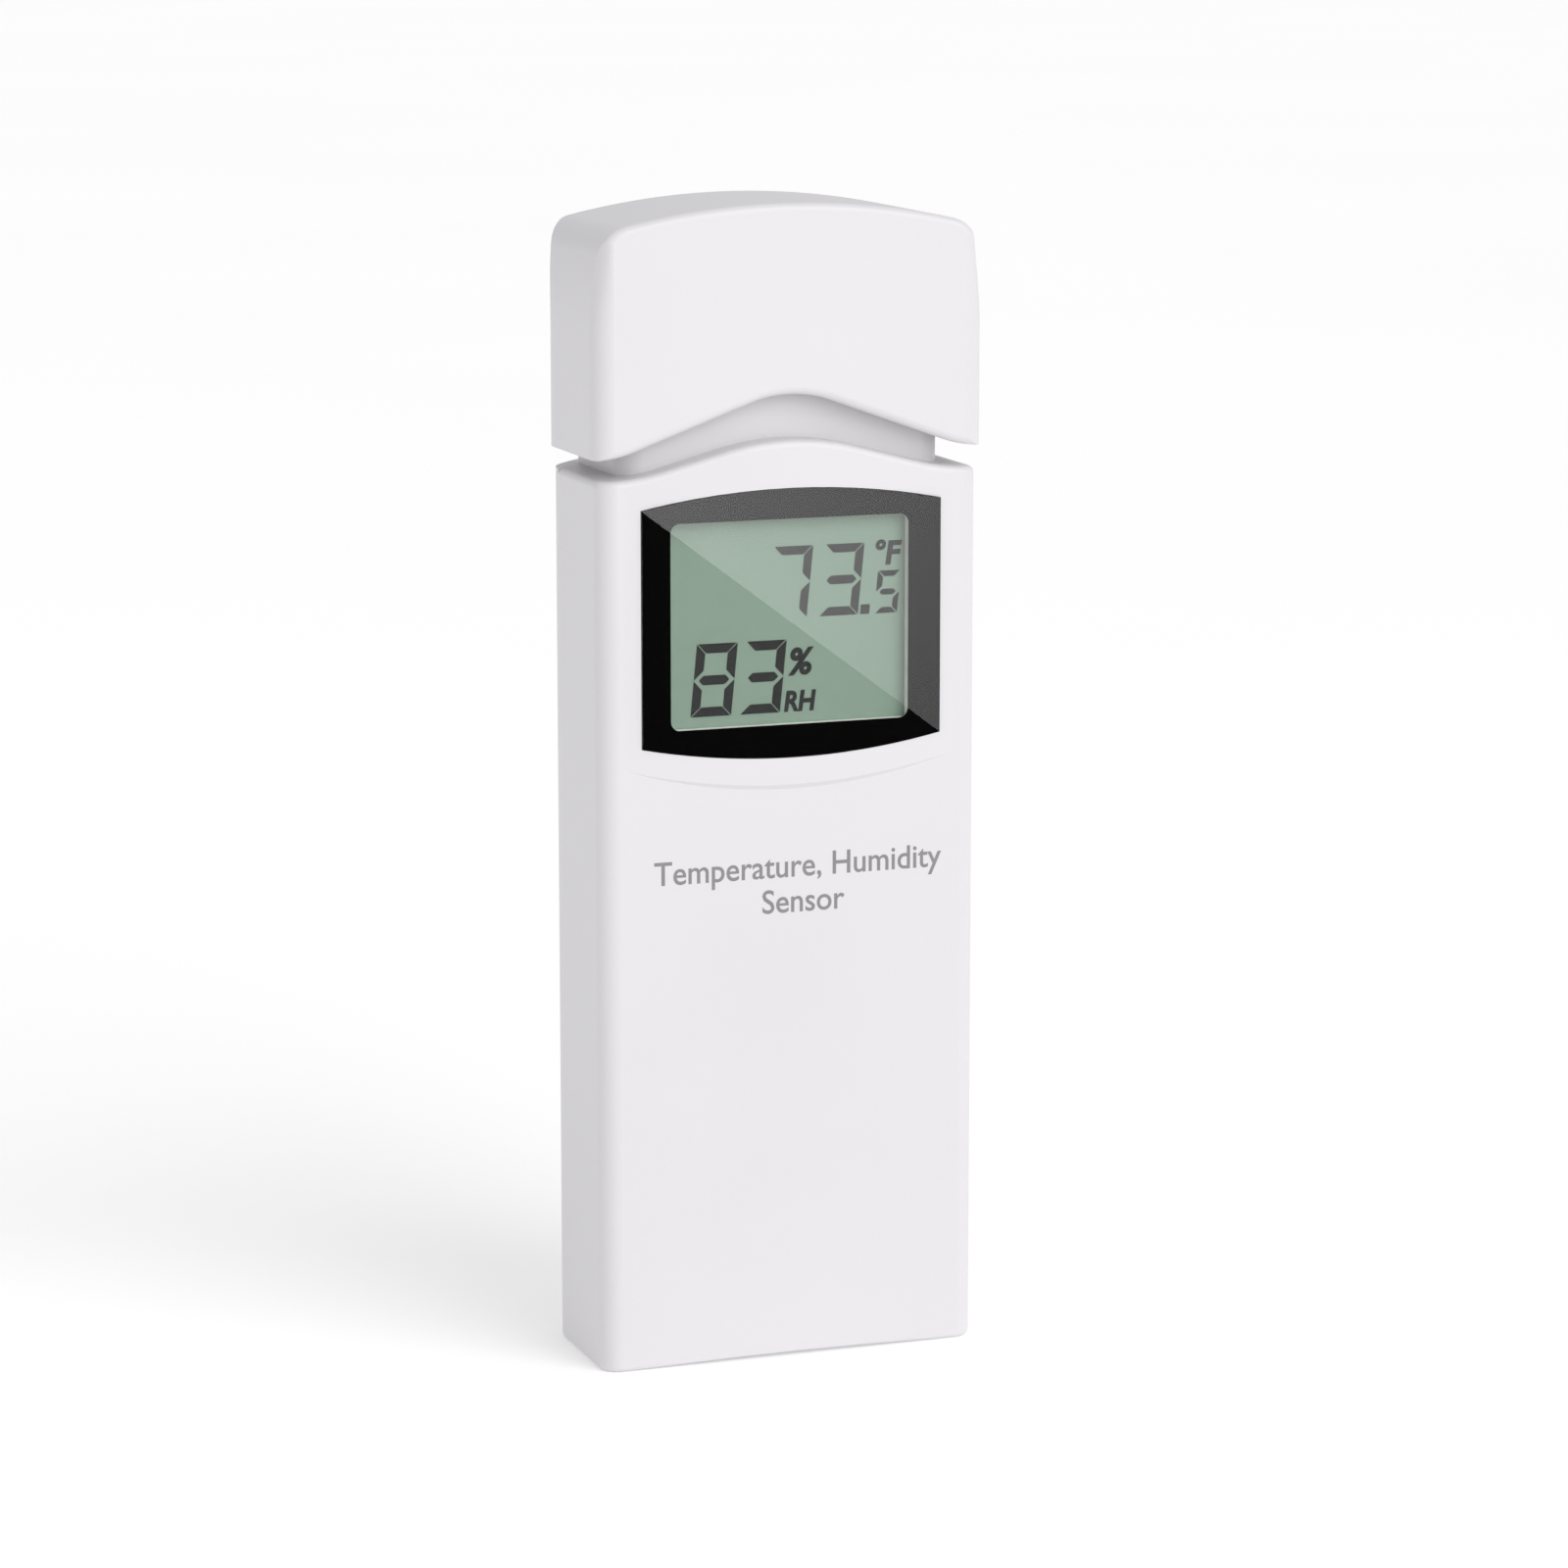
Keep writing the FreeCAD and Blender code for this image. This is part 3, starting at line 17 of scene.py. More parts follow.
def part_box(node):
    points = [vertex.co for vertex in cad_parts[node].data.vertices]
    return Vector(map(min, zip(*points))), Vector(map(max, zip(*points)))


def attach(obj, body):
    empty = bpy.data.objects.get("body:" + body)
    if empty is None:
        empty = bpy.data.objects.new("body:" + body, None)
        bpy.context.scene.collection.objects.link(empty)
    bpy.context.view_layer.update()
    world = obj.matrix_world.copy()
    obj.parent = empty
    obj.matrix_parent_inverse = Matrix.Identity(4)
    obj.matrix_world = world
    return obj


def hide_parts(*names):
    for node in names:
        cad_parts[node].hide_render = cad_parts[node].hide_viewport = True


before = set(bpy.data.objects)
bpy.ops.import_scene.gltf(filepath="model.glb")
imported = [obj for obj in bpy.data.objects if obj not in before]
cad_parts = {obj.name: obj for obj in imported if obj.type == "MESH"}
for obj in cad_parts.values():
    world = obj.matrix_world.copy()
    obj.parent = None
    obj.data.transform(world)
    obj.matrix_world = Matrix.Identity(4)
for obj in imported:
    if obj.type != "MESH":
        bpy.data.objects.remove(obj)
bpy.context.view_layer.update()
MM = 0.001

# %% [markdown]
# Colours are chosen as sRGB hex values, the way a paint chart gives them. Blender mixes light with linear
# numbers, so one function turns a hex value into those. A second function puts a node in a material,
# sets its values and joins it to the nodes before it. Every material below is made with these two.

# %% Colour and node helpers
def colour(code):
    """Linear red, green, blue and alpha from an sRGB hex value such as 'e6e4e7'."""
    channels = [int(code[i:i + 2], 16) / 255 for i in (0, 2, 4)]
    return [c / 12.92 if c <= 0.04045 else ((c + 0.055) / 1.055) ** 2.4 for c in channels] + [1.0]


def add(tree, kind, values=None, links=None, **settings):
    """A new node with its settings, its input values, and links from other nodes' outputs."""
    node = tree.nodes.new("ShaderNode" + kind)
    for name, value in settings.items():
        setattr(node, name, value)
    for name, value in (values or {}).items():
        node.inputs[name].default_value = value
    for name, source in (links or {}).items():
        tree.links.new(source, node.inputs[name])
    return node


print("white plastic in linear light:", [round(c, 3) for c in colour("e6e4e7")])

# %% [markdown]
# Nearly every finish here is one surface shader with two patterns: a slow drift in colour or gloss, and a
# fine relief. Both read Object coordinates, which are metres, so a pattern's scale is one over its real
# grain size. Numbers that are the same all over sit on the shader itself.

# %% A surface with a drift and a relief
def blank(name, roughness, metallic=0.0, ior=1.5, **extra):
    """A material with plain values on its shader, its tree, and its place in metres."""
    material = bpy.data.materials.new(name)
    material.use_nodes = True
    shader = material.node_tree.nodes["Principled BSDF"]
    shader.inputs["Roughness"].default_value = roughness
    shader.inputs["Metallic"].default_value = metallic
    shader.inputs["IOR"].default_value = ior
    for key, value in extra.items():
        shader.inputs[key.replace("_", " ")].default_value = value
    place = add(material.node_tree, "TexCoord").outputs["Object"]
    return material, material.node_tree, shader, place


def paint(tree, shader, pattern, low, high):
    """The base colour runs from one hex value to another as the pattern goes from 0 to 1."""
    mix = add(tree, "MixRGB", {"Color1": colour(low), "Color2": colour(high)}, {"Fac": pattern})
    tree.links.new(mix.outputs["Color"], shader.inputs["Base Color"])


def emboss(tree, shader, pattern, height):
    """The pattern stands out of the surface by up to the height in mm."""
    bump = add(tree, "Bump", {"Strength": 1, "Distance": height * MM}, {"Height": pattern})
    tree.links.new(bump.outputs["Normal"], shader.inputs["Normal"])


def surface(name, low, high, roughness, metallic=0.0, ior=1.5, drift=20, grain=0.4, relief=0.0, gloss=0.0,
            **extra):
    """Colour and gloss drift over so many mm, and a fine relief has grains so many mm wide."""
    material, tree, shader, place = blank(name, roughness, metallic, ior, **extra)
    slow = add(tree, "TexNoise", {"Scale": 1 / (drift * MM), "Detail": 3}, {"Vector": place}).outputs["Fac"]
    paint(tree, shader, slow, low, high)
    if gloss:
        limits = {"To Min": roughness - gloss, "To Max": roughness + gloss}
        spread = add(tree, "MapRange", limits, {"Value": slow})
        tree.links.new(spread.outputs["Result"], shader.inputs["Roughness"])
    if relief:
        fine = add(tree, "TexNoise", {"Scale": 1 / (grain * MM), "Detail": 2}, {"Vector": place})
        emboss(tree, shader, fine.outputs["Fac"], relief)
    return material


print("surface() is ready")

# %% [markdown]
# The housing is injection-moulded ABS with a satin, finely spark-eroded skin. Its grain is about 0.1 mm,
# drawn at 0.35 mm so that it just shows. It gives the eye a soft, even white with broad highlights.

# %% Housing plastics
moulded_abs = surface("moulded_white_abs", "d7d5d8", "dddbde", 0.38, ior=1.54, drift=30, grain=0.35,
                      relief=0.006, gloss=0.03)
frame_abs = surface("moulded_grey_abs", "cfcfcb", "d6d6d2", 0.5, ior=1.54, drift=10, grain=0.3, relief=0.01)
print("housing:", moulded_abs.name, frame_abs.name)

# %% [markdown]
# The window is a polished acrylic lens, printed black on its inner face except over the display. Acrylic
# bends light with an index of 1.49. The ink itself is matt, and the gloss that the eye sees over it is the
# lens's. The foam behind the lens has cells about 0.5 mm wide.

# %% Window and its ink
acrylic = surface("polished_clear_acrylic", "fbfcfc", "ffffff", 0.0, ior=1.49, drift=15,
                  Transmission_Weight=1.0)
black_ink = surface("screen_printed_black_ink", "010101", "020202", 0.7, ior=1.2, drift=6, gloss=0.05)
foam = surface("closed_cell_foam", "141414", "1f1f1f", 0.9, drift=2, grain=0.5, relief=0.12)
print("window:", acrylic.name, black_ink.name, foam.name)

# %% [markdown]
# The display is two sheets of glass with liquid crystal between them, under a matt polariser. Unlit, it is
# a dull green-grey, a little lighter where it drifts. The polariser's haze is a faint, fine mottle.

# %% Display materials
display_glass = surface("liquid_crystal_glass", "7b9282", "839989", 0.7, ior=1.3, drift=14, grain=0.3,
                        relief=0.002, gloss=0.04)
segment_ink = surface("dark_crystal_segments", "040505", "080a09", 0.8, ior=1.2, drift=5, grain=0.3,
                      relief=0.001)
foil = surface("satin_aluminium_foil", "c6c8c4", "d8dad6", 0.34, 1.0, drift=3, grain=0.2, relief=0.01,
               gloss=0.08)
print("display:", display_glass.name, segment_ink.name, foil.name)

# %% [markdown]
# The rubber strips that join the display to the board are sandwiches of silicone with and without carbon.
# Their bands are about 0.1 mm wide, drawn some 3 mm apart so that they show. A wave texture across X makes
# such even stripes: at a scale of 1 it repeats every tau / 20 metres.

# %% Banded silicone
WAVE_SCALE = 100
banded_silicone, tree, shader, place = blank("banded_silicone", 0.6, ior=1.41)
bands = add(tree, "TexWave", {"Scale": WAVE_SCALE}, {"Vector": place}, bands_direction="X")
paint(tree, shader, bands.outputs["Fac"], "3a3a3c", "b9b9b6")
emboss(tree, shader, bands.outputs["Fac"], 0.01)
print("strips:", banded_silicone.name, "with bands", round(math.tau / 20 / WAVE_SCALE / MM, 1), "mm apart")

# %% [markdown]
# The boards are glass-fibre laminate under a green solder mask. Copper tracks stand under the mask as
# lighter lines. A brick texture with its mortar as the track gives right-angled runs about 0.4 mm wide.

# %% Solder mask over tracks
TRACK_GRID = 4 * MM
solder_mask, tree, shader, place = blank("green_solder_mask", 0.28, ior=1.55)
upright = add(tree, "Mapping", {"Rotation": (math.radians(90), 0, 0)}, {"Vector": place})
tracks = add(tree, "TexBrick", {"Scale": 1 / TRACK_GRID, "Mortar Size": 0.05, "Mortar Smooth": 0.3,
             "Brick Width": 1.7, "Row Height": 0.6}, {"Vector": upright.outputs["Vector"]})
paint(tree, shader, tracks.outputs["Fac"], "0e4a2a", "1f6b41")
emboss(tree, shader, tracks.outputs["Fac"], 0.03)
epoxy = surface("black_casting_epoxy", "070707", "0d0d0d", 0.16, ior=1.55, drift=3, grain=0.8, relief=0.02,
                gloss=0.05)
print("board:", solder_mask.name, epoxy.name)

# %% [markdown]
# Plated metals differ mainly in colour and in how their plating was laid. Tin is pale and slightly rough,
# gold flash is smooth, nickel on spring steel keeps the rolling lines of its strip, and zinc is mottled.

# %% Plated metals and wire
tin = surface("tin_plated_steel", "c9cacb", "dadadb", 0.24, 1.0, drift=2, grain=0.2, relief=0.01,
              gloss=0.06)
gold = surface("gold_flashed_brass", "d9b25c", "e6c477", 0.18, 1.0, drift=2, grain=0.15, relief=0.004)
copper = surface("enamelled_copper_wire", "a8622e", "c07a40", 0.22, 1.0, drift=1.5, grain=0.2,
                 relief=0.006, Coat_Weight=0.6)
nickel = surface("nickel_plated_spring_steel", "bdbab3", "d3d0c9", 0.22, 1.0, drift=4, grain=0.25,
                 relief=0.008, gloss=0.08)
zinc = surface("zinc_plated_steel", "a7a9ad", "c6c8cc", 0.3, 1.0, drift=0.8, grain=0.3, relief=0.012,
               gloss=0.1)
print("metals:", tin.name, gold.name, copper.name, nickel.name, zinc.name)

# %% [markdown]
# The small moulded parts and sleeves are plain, but each has its own gloss: a switch body is glossy
# polyester, its levers are matt nylon, and wire insulation is soft PVC.

# %% Small plastics
shrink_sleeve = surface("polyester_shrink_sleeve", "101427", "181e36", 0.25, drift=3, grain=0.6,
                        relief=0.01)
polyester = surface("moulded_red_polyester", "9e1f19", "aa2a22", 0.3, ior=1.57, drift=4, grain=0.25,
                    relief=0.008)
nylon_skin = {"ior": 1.53, "drift": 1.5, "grain": 0.2, "relief": 0.006}
nylon = surface("moulded_white_nylon", "e4e3dc", "eeede7", 0.45, **nylon_skin)
grey_nylon = surface("moulded_grey_nylon", "58585b", "636366", 0.45, **nylon_skin)
pvc_skin = {"ior": 1.53, "drift": 2, "grain": 0.4, "relief": 0.01}
red_pvc = surface("red_pvc_insulation", "a3140f", "b31c15", 0.42, **pvc_skin)
black_pvc = surface("black_pvc_insulation", "121212", "1b1b1b", 0.42, **pvc_skin)
polymer_cap = surface("sintered_polymer_cap", "deded8", "ecece6", 0.75, drift=1, grain=0.15, relief=0.03)
print("small plastics:", shrink_sleeve.name, polyester.name, nylon.name, grey_nylon.name, polymer_cap.name)

# %% [markdown]
# The vents in the neck are backed by woven stainless gauze, which keeps insects out. Its wires are 0.2 mm
# on a 0.5 mm pitch. A brick texture with no shift from row to row draws the open squares of the weave, and
# paints them near black: painted shade of the dark space behind the gauze.

# %% Woven gauze
WEAVE_GRID = 1 * MM
gauze, tree, shader, place = blank("woven_stainless_gauze", 0.35, 1.0)
sideways = add(tree, "Mapping", {"Rotation": (0, math.radians(90), 0)}, {"Vector": place})
weave_with_shaded_holes = add(tree, "TexBrick", {"Scale": 1 / WEAVE_GRID, "Mortar Size": 0.1, "Mortar Smooth": 0.6,
            "Brick Width": 0.5, "Row Height": 0.5}, {"Vector": sideways.outputs["Vector"]}, offset=0.0)
# The open squares take the dark colour as painted shade, and the wires take the light one.
paint(tree, shader, weave_with_shaded_holes.outputs["Fac"], "1b1b1c", "b4b5b7")
emboss(tree, shader, weave_with_shaded_holes.outputs["Fac"], 0.08)
print("gauze:", gauze.name)

# %% [markdown]
# The model records a finish slot for each part. Giving each slot its material and then walking over the
# parts dresses them all, and no part can be forgotten: a slot without a material would stop the lesson.

# %% Dress the parts
FINISH = {
    "case_white": moulded_abs, "clear_lens": acrylic, "black_ink": black_ink, "black_foam": foam,
    "lcd": display_glass, "reflector": foil, "frame_plastic": frame_abs, "elastomer": banded_silicone,
    "circuit_board": solder_mask, "resin": epoxy, "tinned": tin, "capacitor_sleeve": shrink_sleeve,
    "gold_plate": gold, "copper": copper, "switch_body": polyester, "lever": nylon, "button": grey_nylon,
    "cell_jacket": nickel, "contact": nickel, "red_sleeve": red_pvc, "black_sleeve": black_pvc,
    "sensor_cap": polymer_cap, "mesh": gauze, "screw_steel": zinc,
}
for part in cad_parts.values():
    for place_in_list, old in enumerate(part.data.materials):
        part.data.materials[place_in_list] = FINISH[old.name.split(".")[0]]
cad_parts["display_window"].visible_shadow = False
print("dressed:", len(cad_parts))


# %% [markdown]
# New pieces start as a bmesh, and one function makes an object of it: it gives the piece its material
# and the body that it moves with. Small angles are shaded smooth and corners stay sharp.

# %% From bmesh to a piece
SAME_POINT = 0.0005 * MM
TURN_STEPS = 72


def finish_piece(name, shape, material, body="case", sharp=30):
    """An object at the origin with its place in its mesh, which rides on a body of the model."""
    bmesh.ops.remove_doubles(shape, verts=shape.verts, dist=SAME_POINT)
    bmesh.ops.recalc_face_normals(shape, faces=shape.faces)
    for face in shape.faces:
        face.smooth = True
    for edge in shape.edges:
        edge.smooth = edge.calc_face_angle(math.pi) < math.radians(sharp)
    mesh = bpy.data.meshes.new(name)
    shape.to_mesh(mesh)
    shape.free()
    mesh.materials.append(material)
    piece = bpy.data.objects.new(name, mesh)
    bpy.context.scene.collection.objects.link(piece)
    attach(piece, body)
    return piece


def turned(shape, profile, centre):
    """Spin a profile of (radius, height) points in mm about an upright axis through the centre."""
    points = [shape.verts.new((radius * MM, 0, height * MM)) for radius, height in profile]
    edges = [shape.edges.new(pair) for pair in zip(points, points[1:])]
    bmesh.ops.spin(shape, geom=points + edges, cent=(0, 0, 0), axis=(0, 0, 1), angle=math.tau,
                   steps=TURN_STEPS, use_merge=True)
    bmesh.ops.translate(shape, verts=shape.verts, vec=centre)


print("finish_piece() and turned() are ready")

# %% [markdown]
# The legend is pad-printed in grey under the window. Text is drawn as a curve, given the thickness of the
# ink, made a mesh, and only then stood up on the front face, so that its object can stay at the origin.
# A capital in Blender's own typeface is 0.69 of the letter size. The front swells 0.35 mm round the window,
# and the legend stands on the face behind that swell.

# %% Printing
CAPITAL = 0.69
HAIR = 0.01 * MM
SWELL = 0.35 * MM
LEGEND_CAPITAL = 2.4


def printed(words, height, width, centre, outwards=-1, thickness=0.02, weight=0.008, slant=0.0):
    """Letters as a bmesh: capitals of a height in mm, fitted to a width, on a wall facing -Y or +Y."""
    curve = bpy.data.curves.new("lettering", "FONT")
    curve.body = words
    curve.align_x = "CENTER"
    curve.extrude = 0.5
    curve.resolution_u = 4
    curve.offset = weight
    curve.shear = slant
    drawn = bpy.data.objects.new("lettering", curve)
    mesh = bpy.data.meshes.new_from_object(drawn)
    shape = bmesh.new()
    shape.from_mesh(mesh)
    bpy.data.objects.remove(drawn)
    bpy.data.meshes.remove(mesh)
    across = [v.co.x for v in shape.verts]
    middle = (min(across) + max(across)) / 2
    bmesh.ops.translate(shape, verts=shape.verts, vec=(-middle, 0, 0))
    bmesh.ops.scale(shape, verts=shape.verts,
                    vec=(width * MM / (max(across) - min(across)), height * MM / CAPITAL, thickness * MM))
    bmesh.ops.rotate(shape, verts=shape.verts, matrix=Matrix.Rotation(math.radians(90), 3, "X"))
    if outwards > 0:
        bmesh.ops.rotate(shape, verts=shape.verts, matrix=Matrix.Rotation(math.radians(180), 3, "Z"))
    bmesh.ops.translate(shape, verts=shape.verts, vec=centre)
    return shape


grey_ink = surface("pad_printed_grey_ink", "7f7e81", "8a898c", 0.5, drift=3, grain=0.2, relief=0.004)
FRONT_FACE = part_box("front_shell")[0].y + SWELL
for name, words, width, x, z in (("legend_upper", "Temperature, Humidity", 31.4, 0.8, 51.0),
                                 ("legend_lower", "Sensor", 9.0, 1.3, 47.3)):
    letters = printed(words, LEGEND_CAPITAL, width, (x * MM, FRONT_FACE - HAIR, z * MM))
    finish_piece(name, letters, grey_ink)
print("legend on the front face at", round(FRONT_FACE / MM, 2), "mm")

# %% [markdown]
# Behind the ink, the white frame round the display shows as a thin pale edge, at the right and below, where
# the eye looks past the ink's border. It is a flat ring, pulled back to the glass as a wall.

# %% Pale lip round the display
def add_lip(half, low, high, front, back, thick):
    """A rectangular wall round a view, from one depth to another, all in metres."""
    shape = bmesh.new()
    bmesh.ops.create_grid(shape, x_segments=1, y_segments=1, size=0.5)
    bmesh.ops.scale(shape, verts=shape.verts, vec=(2 * half + 2 * thick, high - low + 2 * thick, 1))
    bmesh.ops.inset_region(shape, faces=shape.faces[:], thickness=thick, use_even_offset=True,
                           use_boundary=True)
    inner = [face for face in shape.faces if all(abs(v.co.x) < half + thick / 2 for v in face.verts)]
    bmesh.ops.delete(shape, geom=inner, context="FACES")
    wall = bmesh.ops.extrude_face_region(shape, geom=shape.faces[:])["geom"]
    moved = [v for v in wall if isinstance(v, bmesh.types.BMVert)]
    bmesh.ops.translate(shape, verts=moved, vec=(0, 0, back - front))
    bmesh.ops.rotate(shape, verts=shape.verts, matrix=Matrix.Rotation(math.radians(-90), 3, "X"))
    bmesh.ops.translate(shape, verts=shape.verts, vec=(0, front, (low + high) / 2))
    return shape


VIEW_HALF, VIEW_LOW, VIEW_HIGH = 12.95 * MM, 66.75 * MM, 88.05 * MM
LIP_THICK = 0.2 * MM
FRONT_GAP, BACK_GAP = 0.02 * MM, 0.05 * MM
mask_back, glass_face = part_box("window_mask")[1].y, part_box("lcd_glass")[0].y
lip = add_lip(VIEW_HALF, VIEW_LOW, VIEW_HIGH, mask_back + FRONT_GAP, glass_face - BACK_GAP, LIP_THICK)
finish_piece("display_lip", lip, nylon)
print("lip depth", round((glass_face - mask_back) / MM, 2), "mm")

# %% [markdown]
# The digits of such a display are seven bars each. A bar is a thin plate whose ends are cut at 45 degrees,
# so that neighbours meet at a mitre with a hair's gap. A rectangle with two or four corners bevelled away
# gives that: the outer bars lose the corners that face inwards, and the middle bar loses all four.
# The whole digit is sheared to the right by a tenth, as most displays are.

# %% Seven-bar digits
BARS = {"3": "abcdg", "5": "acdfg", "7": "abc", "8": "abcdefg"}
SLANT = 0.1
BAR_GAP = 0.14
MITRE = 0.96
INK_THICK = 0.03


def add_bar(shape, x, z, length, thick, standing, inwards=None):
    """One bar, centred at x and z in mm, its ends mitred on the side that faces inwards, or on both."""
    before = set(shape.verts)
    bmesh.ops.create_grid(shape, x_segments=1, y_segments=1, size=0.5)
    bar = [v for v in shape.verts if v not in before]
    bmesh.ops.scale(shape, verts=bar, vec=(thick, length, 1) if standing else (length, thick, 1))
    corners = bar if inwards is None else [v for v in bar if v.co.xy.dot(Vector(inwards)) > 0]
    reach = MITRE * thick / (2 if inwards is None else 1)
    bmesh.ops.bevel(shape, geom=corners, offset=reach, offset_type="OFFSET", affect="VERTICES",
                    segments=1, profile=0.5, material=-1)
    bar = [v for v in shape.verts if v not in before]
    bmesh.ops.translate(shape, verts=bar, vec=(x, z, 0))


def add_digit(shape, digit, x, z, height, width, thick):
    """A seven-bar digit whose lower left corner is at x and z in mm."""
    long, wide = height / 2 - BAR_GAP, width - 2 * BAR_GAP
    left, right, middle = x + thick / 2, x + width - thick / 2, x + width / 2
    foot, waist, head = z + thick / 2, z + height / 2, z + height - thick / 2
    low, high = z + height / 4, z + 3 * height / 4
    places = {"a": (middle, head, wide, False, (0, -1)), "d": (middle, foot, wide, False, (0, 1)),
              "g": (middle, waist, width - thick - BAR_GAP, False, None),
              "f": (left, high, long, True, (1, 0)), "e": (left, low, long, True, (1, 0)),
              "b": (right, high, long, True, (-1, 0)), "c": (right, low, long, True, (-1, 0))}
    for name in BARS[digit]:
        bar_x, bar_z, length, standing, inwards = places[name]
        add_bar(shape, bar_x, bar_z, length, thick, standing, inwards)


def lay_on_glass(shape, slant_from):
    """Give the flat marks their slant and thickness, and stand them just in front of the display glass."""
    glass_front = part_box("lcd_glass")[0].y
    bmesh.ops.solidify(shape, geom=shape.faces[:], thickness=INK_THICK)
    bmesh.ops.translate(shape, verts=shape.verts, vec=(0, -slant_from, 0))
    lean = Matrix(((1, SLANT, 0, 0), (0, 1, 0, 0), (0, 0, 1, 0), (0, 0, 0, 1)))
    bmesh.ops.transform(shape, matrix=lean, verts=shape.verts)
    bmesh.ops.translate(shape, verts=shape.verts, vec=(0, slant_from, 0))
    bmesh.ops.rotate(shape, verts=shape.verts, matrix=Matrix.Rotation(math.radians(90), 3, "X"))
    bmesh.ops.scale(shape, verts=shape.verts, vec=(MM, MM, MM))
    back = max(v.co.y for v in shape.verts)
    bmesh.ops.translate(shape, verts=shape.verts, vec=(0, glass_front - HAIR - back, 0))


UPPER_FOOT, LOWER_FOOT = 77.6, 67.9
POINT_SIZE = 1.0
upper, lower = bmesh.new(), bmesh.new()
for marks, digit, x, foot, height, width, thick in (
        (upper, "7", -2.1, UPPER_FOOT, 7.4, 4.3, 0.9), (upper, "3", 3.5, UPPER_FOOT, 7.4, 4.3, 0.9),
        (upper, "5", 9.6, UPPER_FOOT, 4.4, 2.5, 0.6), (lower, "8", -10.4, LOWER_FOOT, 7.5, 4.4, 0.98),
        (lower, "3", -5.1, LOWER_FOOT, 7.5, 4.4, 0.98)):
    add_digit(marks, digit, x, foot, height, width, thick)
add_bar(upper, 8.55, UPPER_FOOT + POINT_SIZE / 2, POINT_SIZE, POINT_SIZE, True, (0, 0))
for name, marks, foot in (("digits_temperature", upper, UPPER_FOOT),
                          ("digits_humidity", lower, LOWER_FOOT)):
    lay_on_glass(marks, foot)
    finish_piece(name, marks, segment_ink)

# %% [markdown]
# The units beside the digits are fixed marks on the same glass. They are lettering, so they are made like
# the legend, and lie at the digits' depth.

# %% Units beside the digits
GLASS_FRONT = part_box("lcd_glass")[0].y - INK_THICK * MM
for name, words, height, width, x, z in (("unit_fahrenheit", "°F", 2.3, 2.9, 11.2, 82.7),
                                         ("unit_percent", "%", 2.6, 2.8, 1.6, 71.8),
                                         ("unit_humidity", "RH", 2.0, 3.5, 1.5, 68.0)):
    marks = printed(words, height, width, (x * MM, GLASS_FRONT, z * MM), thickness=INK_THICK,
                    weight=0.036, slant=0.15)
    finish_piece(name, marks, segment_ink)
print("units done")

# %% [markdown]
# Two AA cells fill the bay. A real cell is a nickel-plated steel can in a printed film jacket, which is
# shrunk over the shoulders at both ends. Can and jacket are turned from profiles, like work on a lathe.
# The jacket's colours are bands along its length, so a ramp over the height paints them.

# %% Cell jackets' film
RING_START, BAND_START = 0.70, 0.72


def jacket_film(name, low, high, up):
    """Printed film: a dark body, a thin pale ring, and a copper-coloured band at the positive end."""
    material, tree, shader, place = blank(name, 0.26, ior=1.56, Coat_Weight=0.3)
    height = add(tree, "SeparateXYZ", None, {"Vector": place}).outputs["Z"]
    start, end = (low, high) if up else (high, low)
    along = add(tree, "MapRange", {"From Min": start, "From Max": end}, {"Value": height})
    ramp = add(tree, "ValToRGB", None, {"Fac": along.outputs["Result"]})
    ramp.color_ramp.interpolation = "CONSTANT"
    ramp.color_ramp.elements[0].color = colour("1b2740")
    ramp.color_ramp.elements[1].position = RING_START
    ramp.color_ramp.elements[1].color = colour("e3e1da")
    ramp.color_ramp.elements.new(BAND_START).color = colour("b9763a")
    tree.links.new(ramp.outputs["Color"], shader.inputs["Base Color"])
    wrinkles = add(tree, "TexNoise", {"Scale": 1 / (2 * MM), "Detail": 2}, {"Vector": place})
    emboss(tree, shader, wrinkles.outputs["Fac"], 0.015)
    return material


print("film ready")

# %% [markdown]
# Each cell stands where the model has it. The right one hangs head down, so its profile is mirrored.

# %% Cells
NIPPLE = 1.2


def cell(side, up):
    """The can and the jacket of one AA cell, in the place of the model's plain one."""
    low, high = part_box(f"cell_{side}")
    centre = Vector(((low.x + high.x) / 2, (low.y + high.y) / 2, low.z))
    length, radius = (high.z - low.z) / MM, (high.x - low.x) / 2 / MM
    shoulder = length - NIPPLE
    can_profile = [(0, 0.25), (4.2, 0.25), (4.6, 0), (5.6, 0), (6.2, 0.3), (6.9, 0.35), (7.0, 0.6),
                   (7.0, shoulder - 0.5), (6.8, shoulder - 0.2), (6.1, shoulder - 0.25),
                   (5.6, shoulder - 0.05), (3.4, shoulder), (2.85, shoulder + 0.15),
                   (2.7, length - 0.25), (2.45, length), (0, length)]
    film_profile = [(5.9, 0.2), (6.6, 0.1), (7.05, 0.25), (radius, 0.7), (radius, shoulder - 0.7),
                    (7.05, shoulder - 0.2), (6.6, shoulder - 0.03), (5.9, shoulder - 0.1),
                    (5.9, shoulder - 0.3), (6.9, shoulder - 0.7), (6.9, 0.7), (5.9, 0.4), (5.9, 0.2)]
    film = jacket_film(f"printed_film_{side}", low.z, high.z, up)
    for kind, profile, material in (("can", can_profile, nickel), ("film", film_profile, film)):
        shape = bmesh.new()
        if not up:
            profile = [(r, length - h) for r, h in profile]
        turned(shape, profile, centre)
        finish_piece(f"cell_{kind}_{side}", shape, material)
    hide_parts(f"cell_{side}")
    print(side, "cell:", round(length, 1), "mm long,", round(2 * radius, 1), "mm across")


cell("left", True)
cell("right", False)

# %% [markdown]
# Behind the door a small panel shows the four setting levers and the reset button. Their numbers and the
# word under the button are printed on the panel, small and dark, facing the back. Someone who looks at the
# back sees the model's fourth lever first from the left, so the figures count the other way.

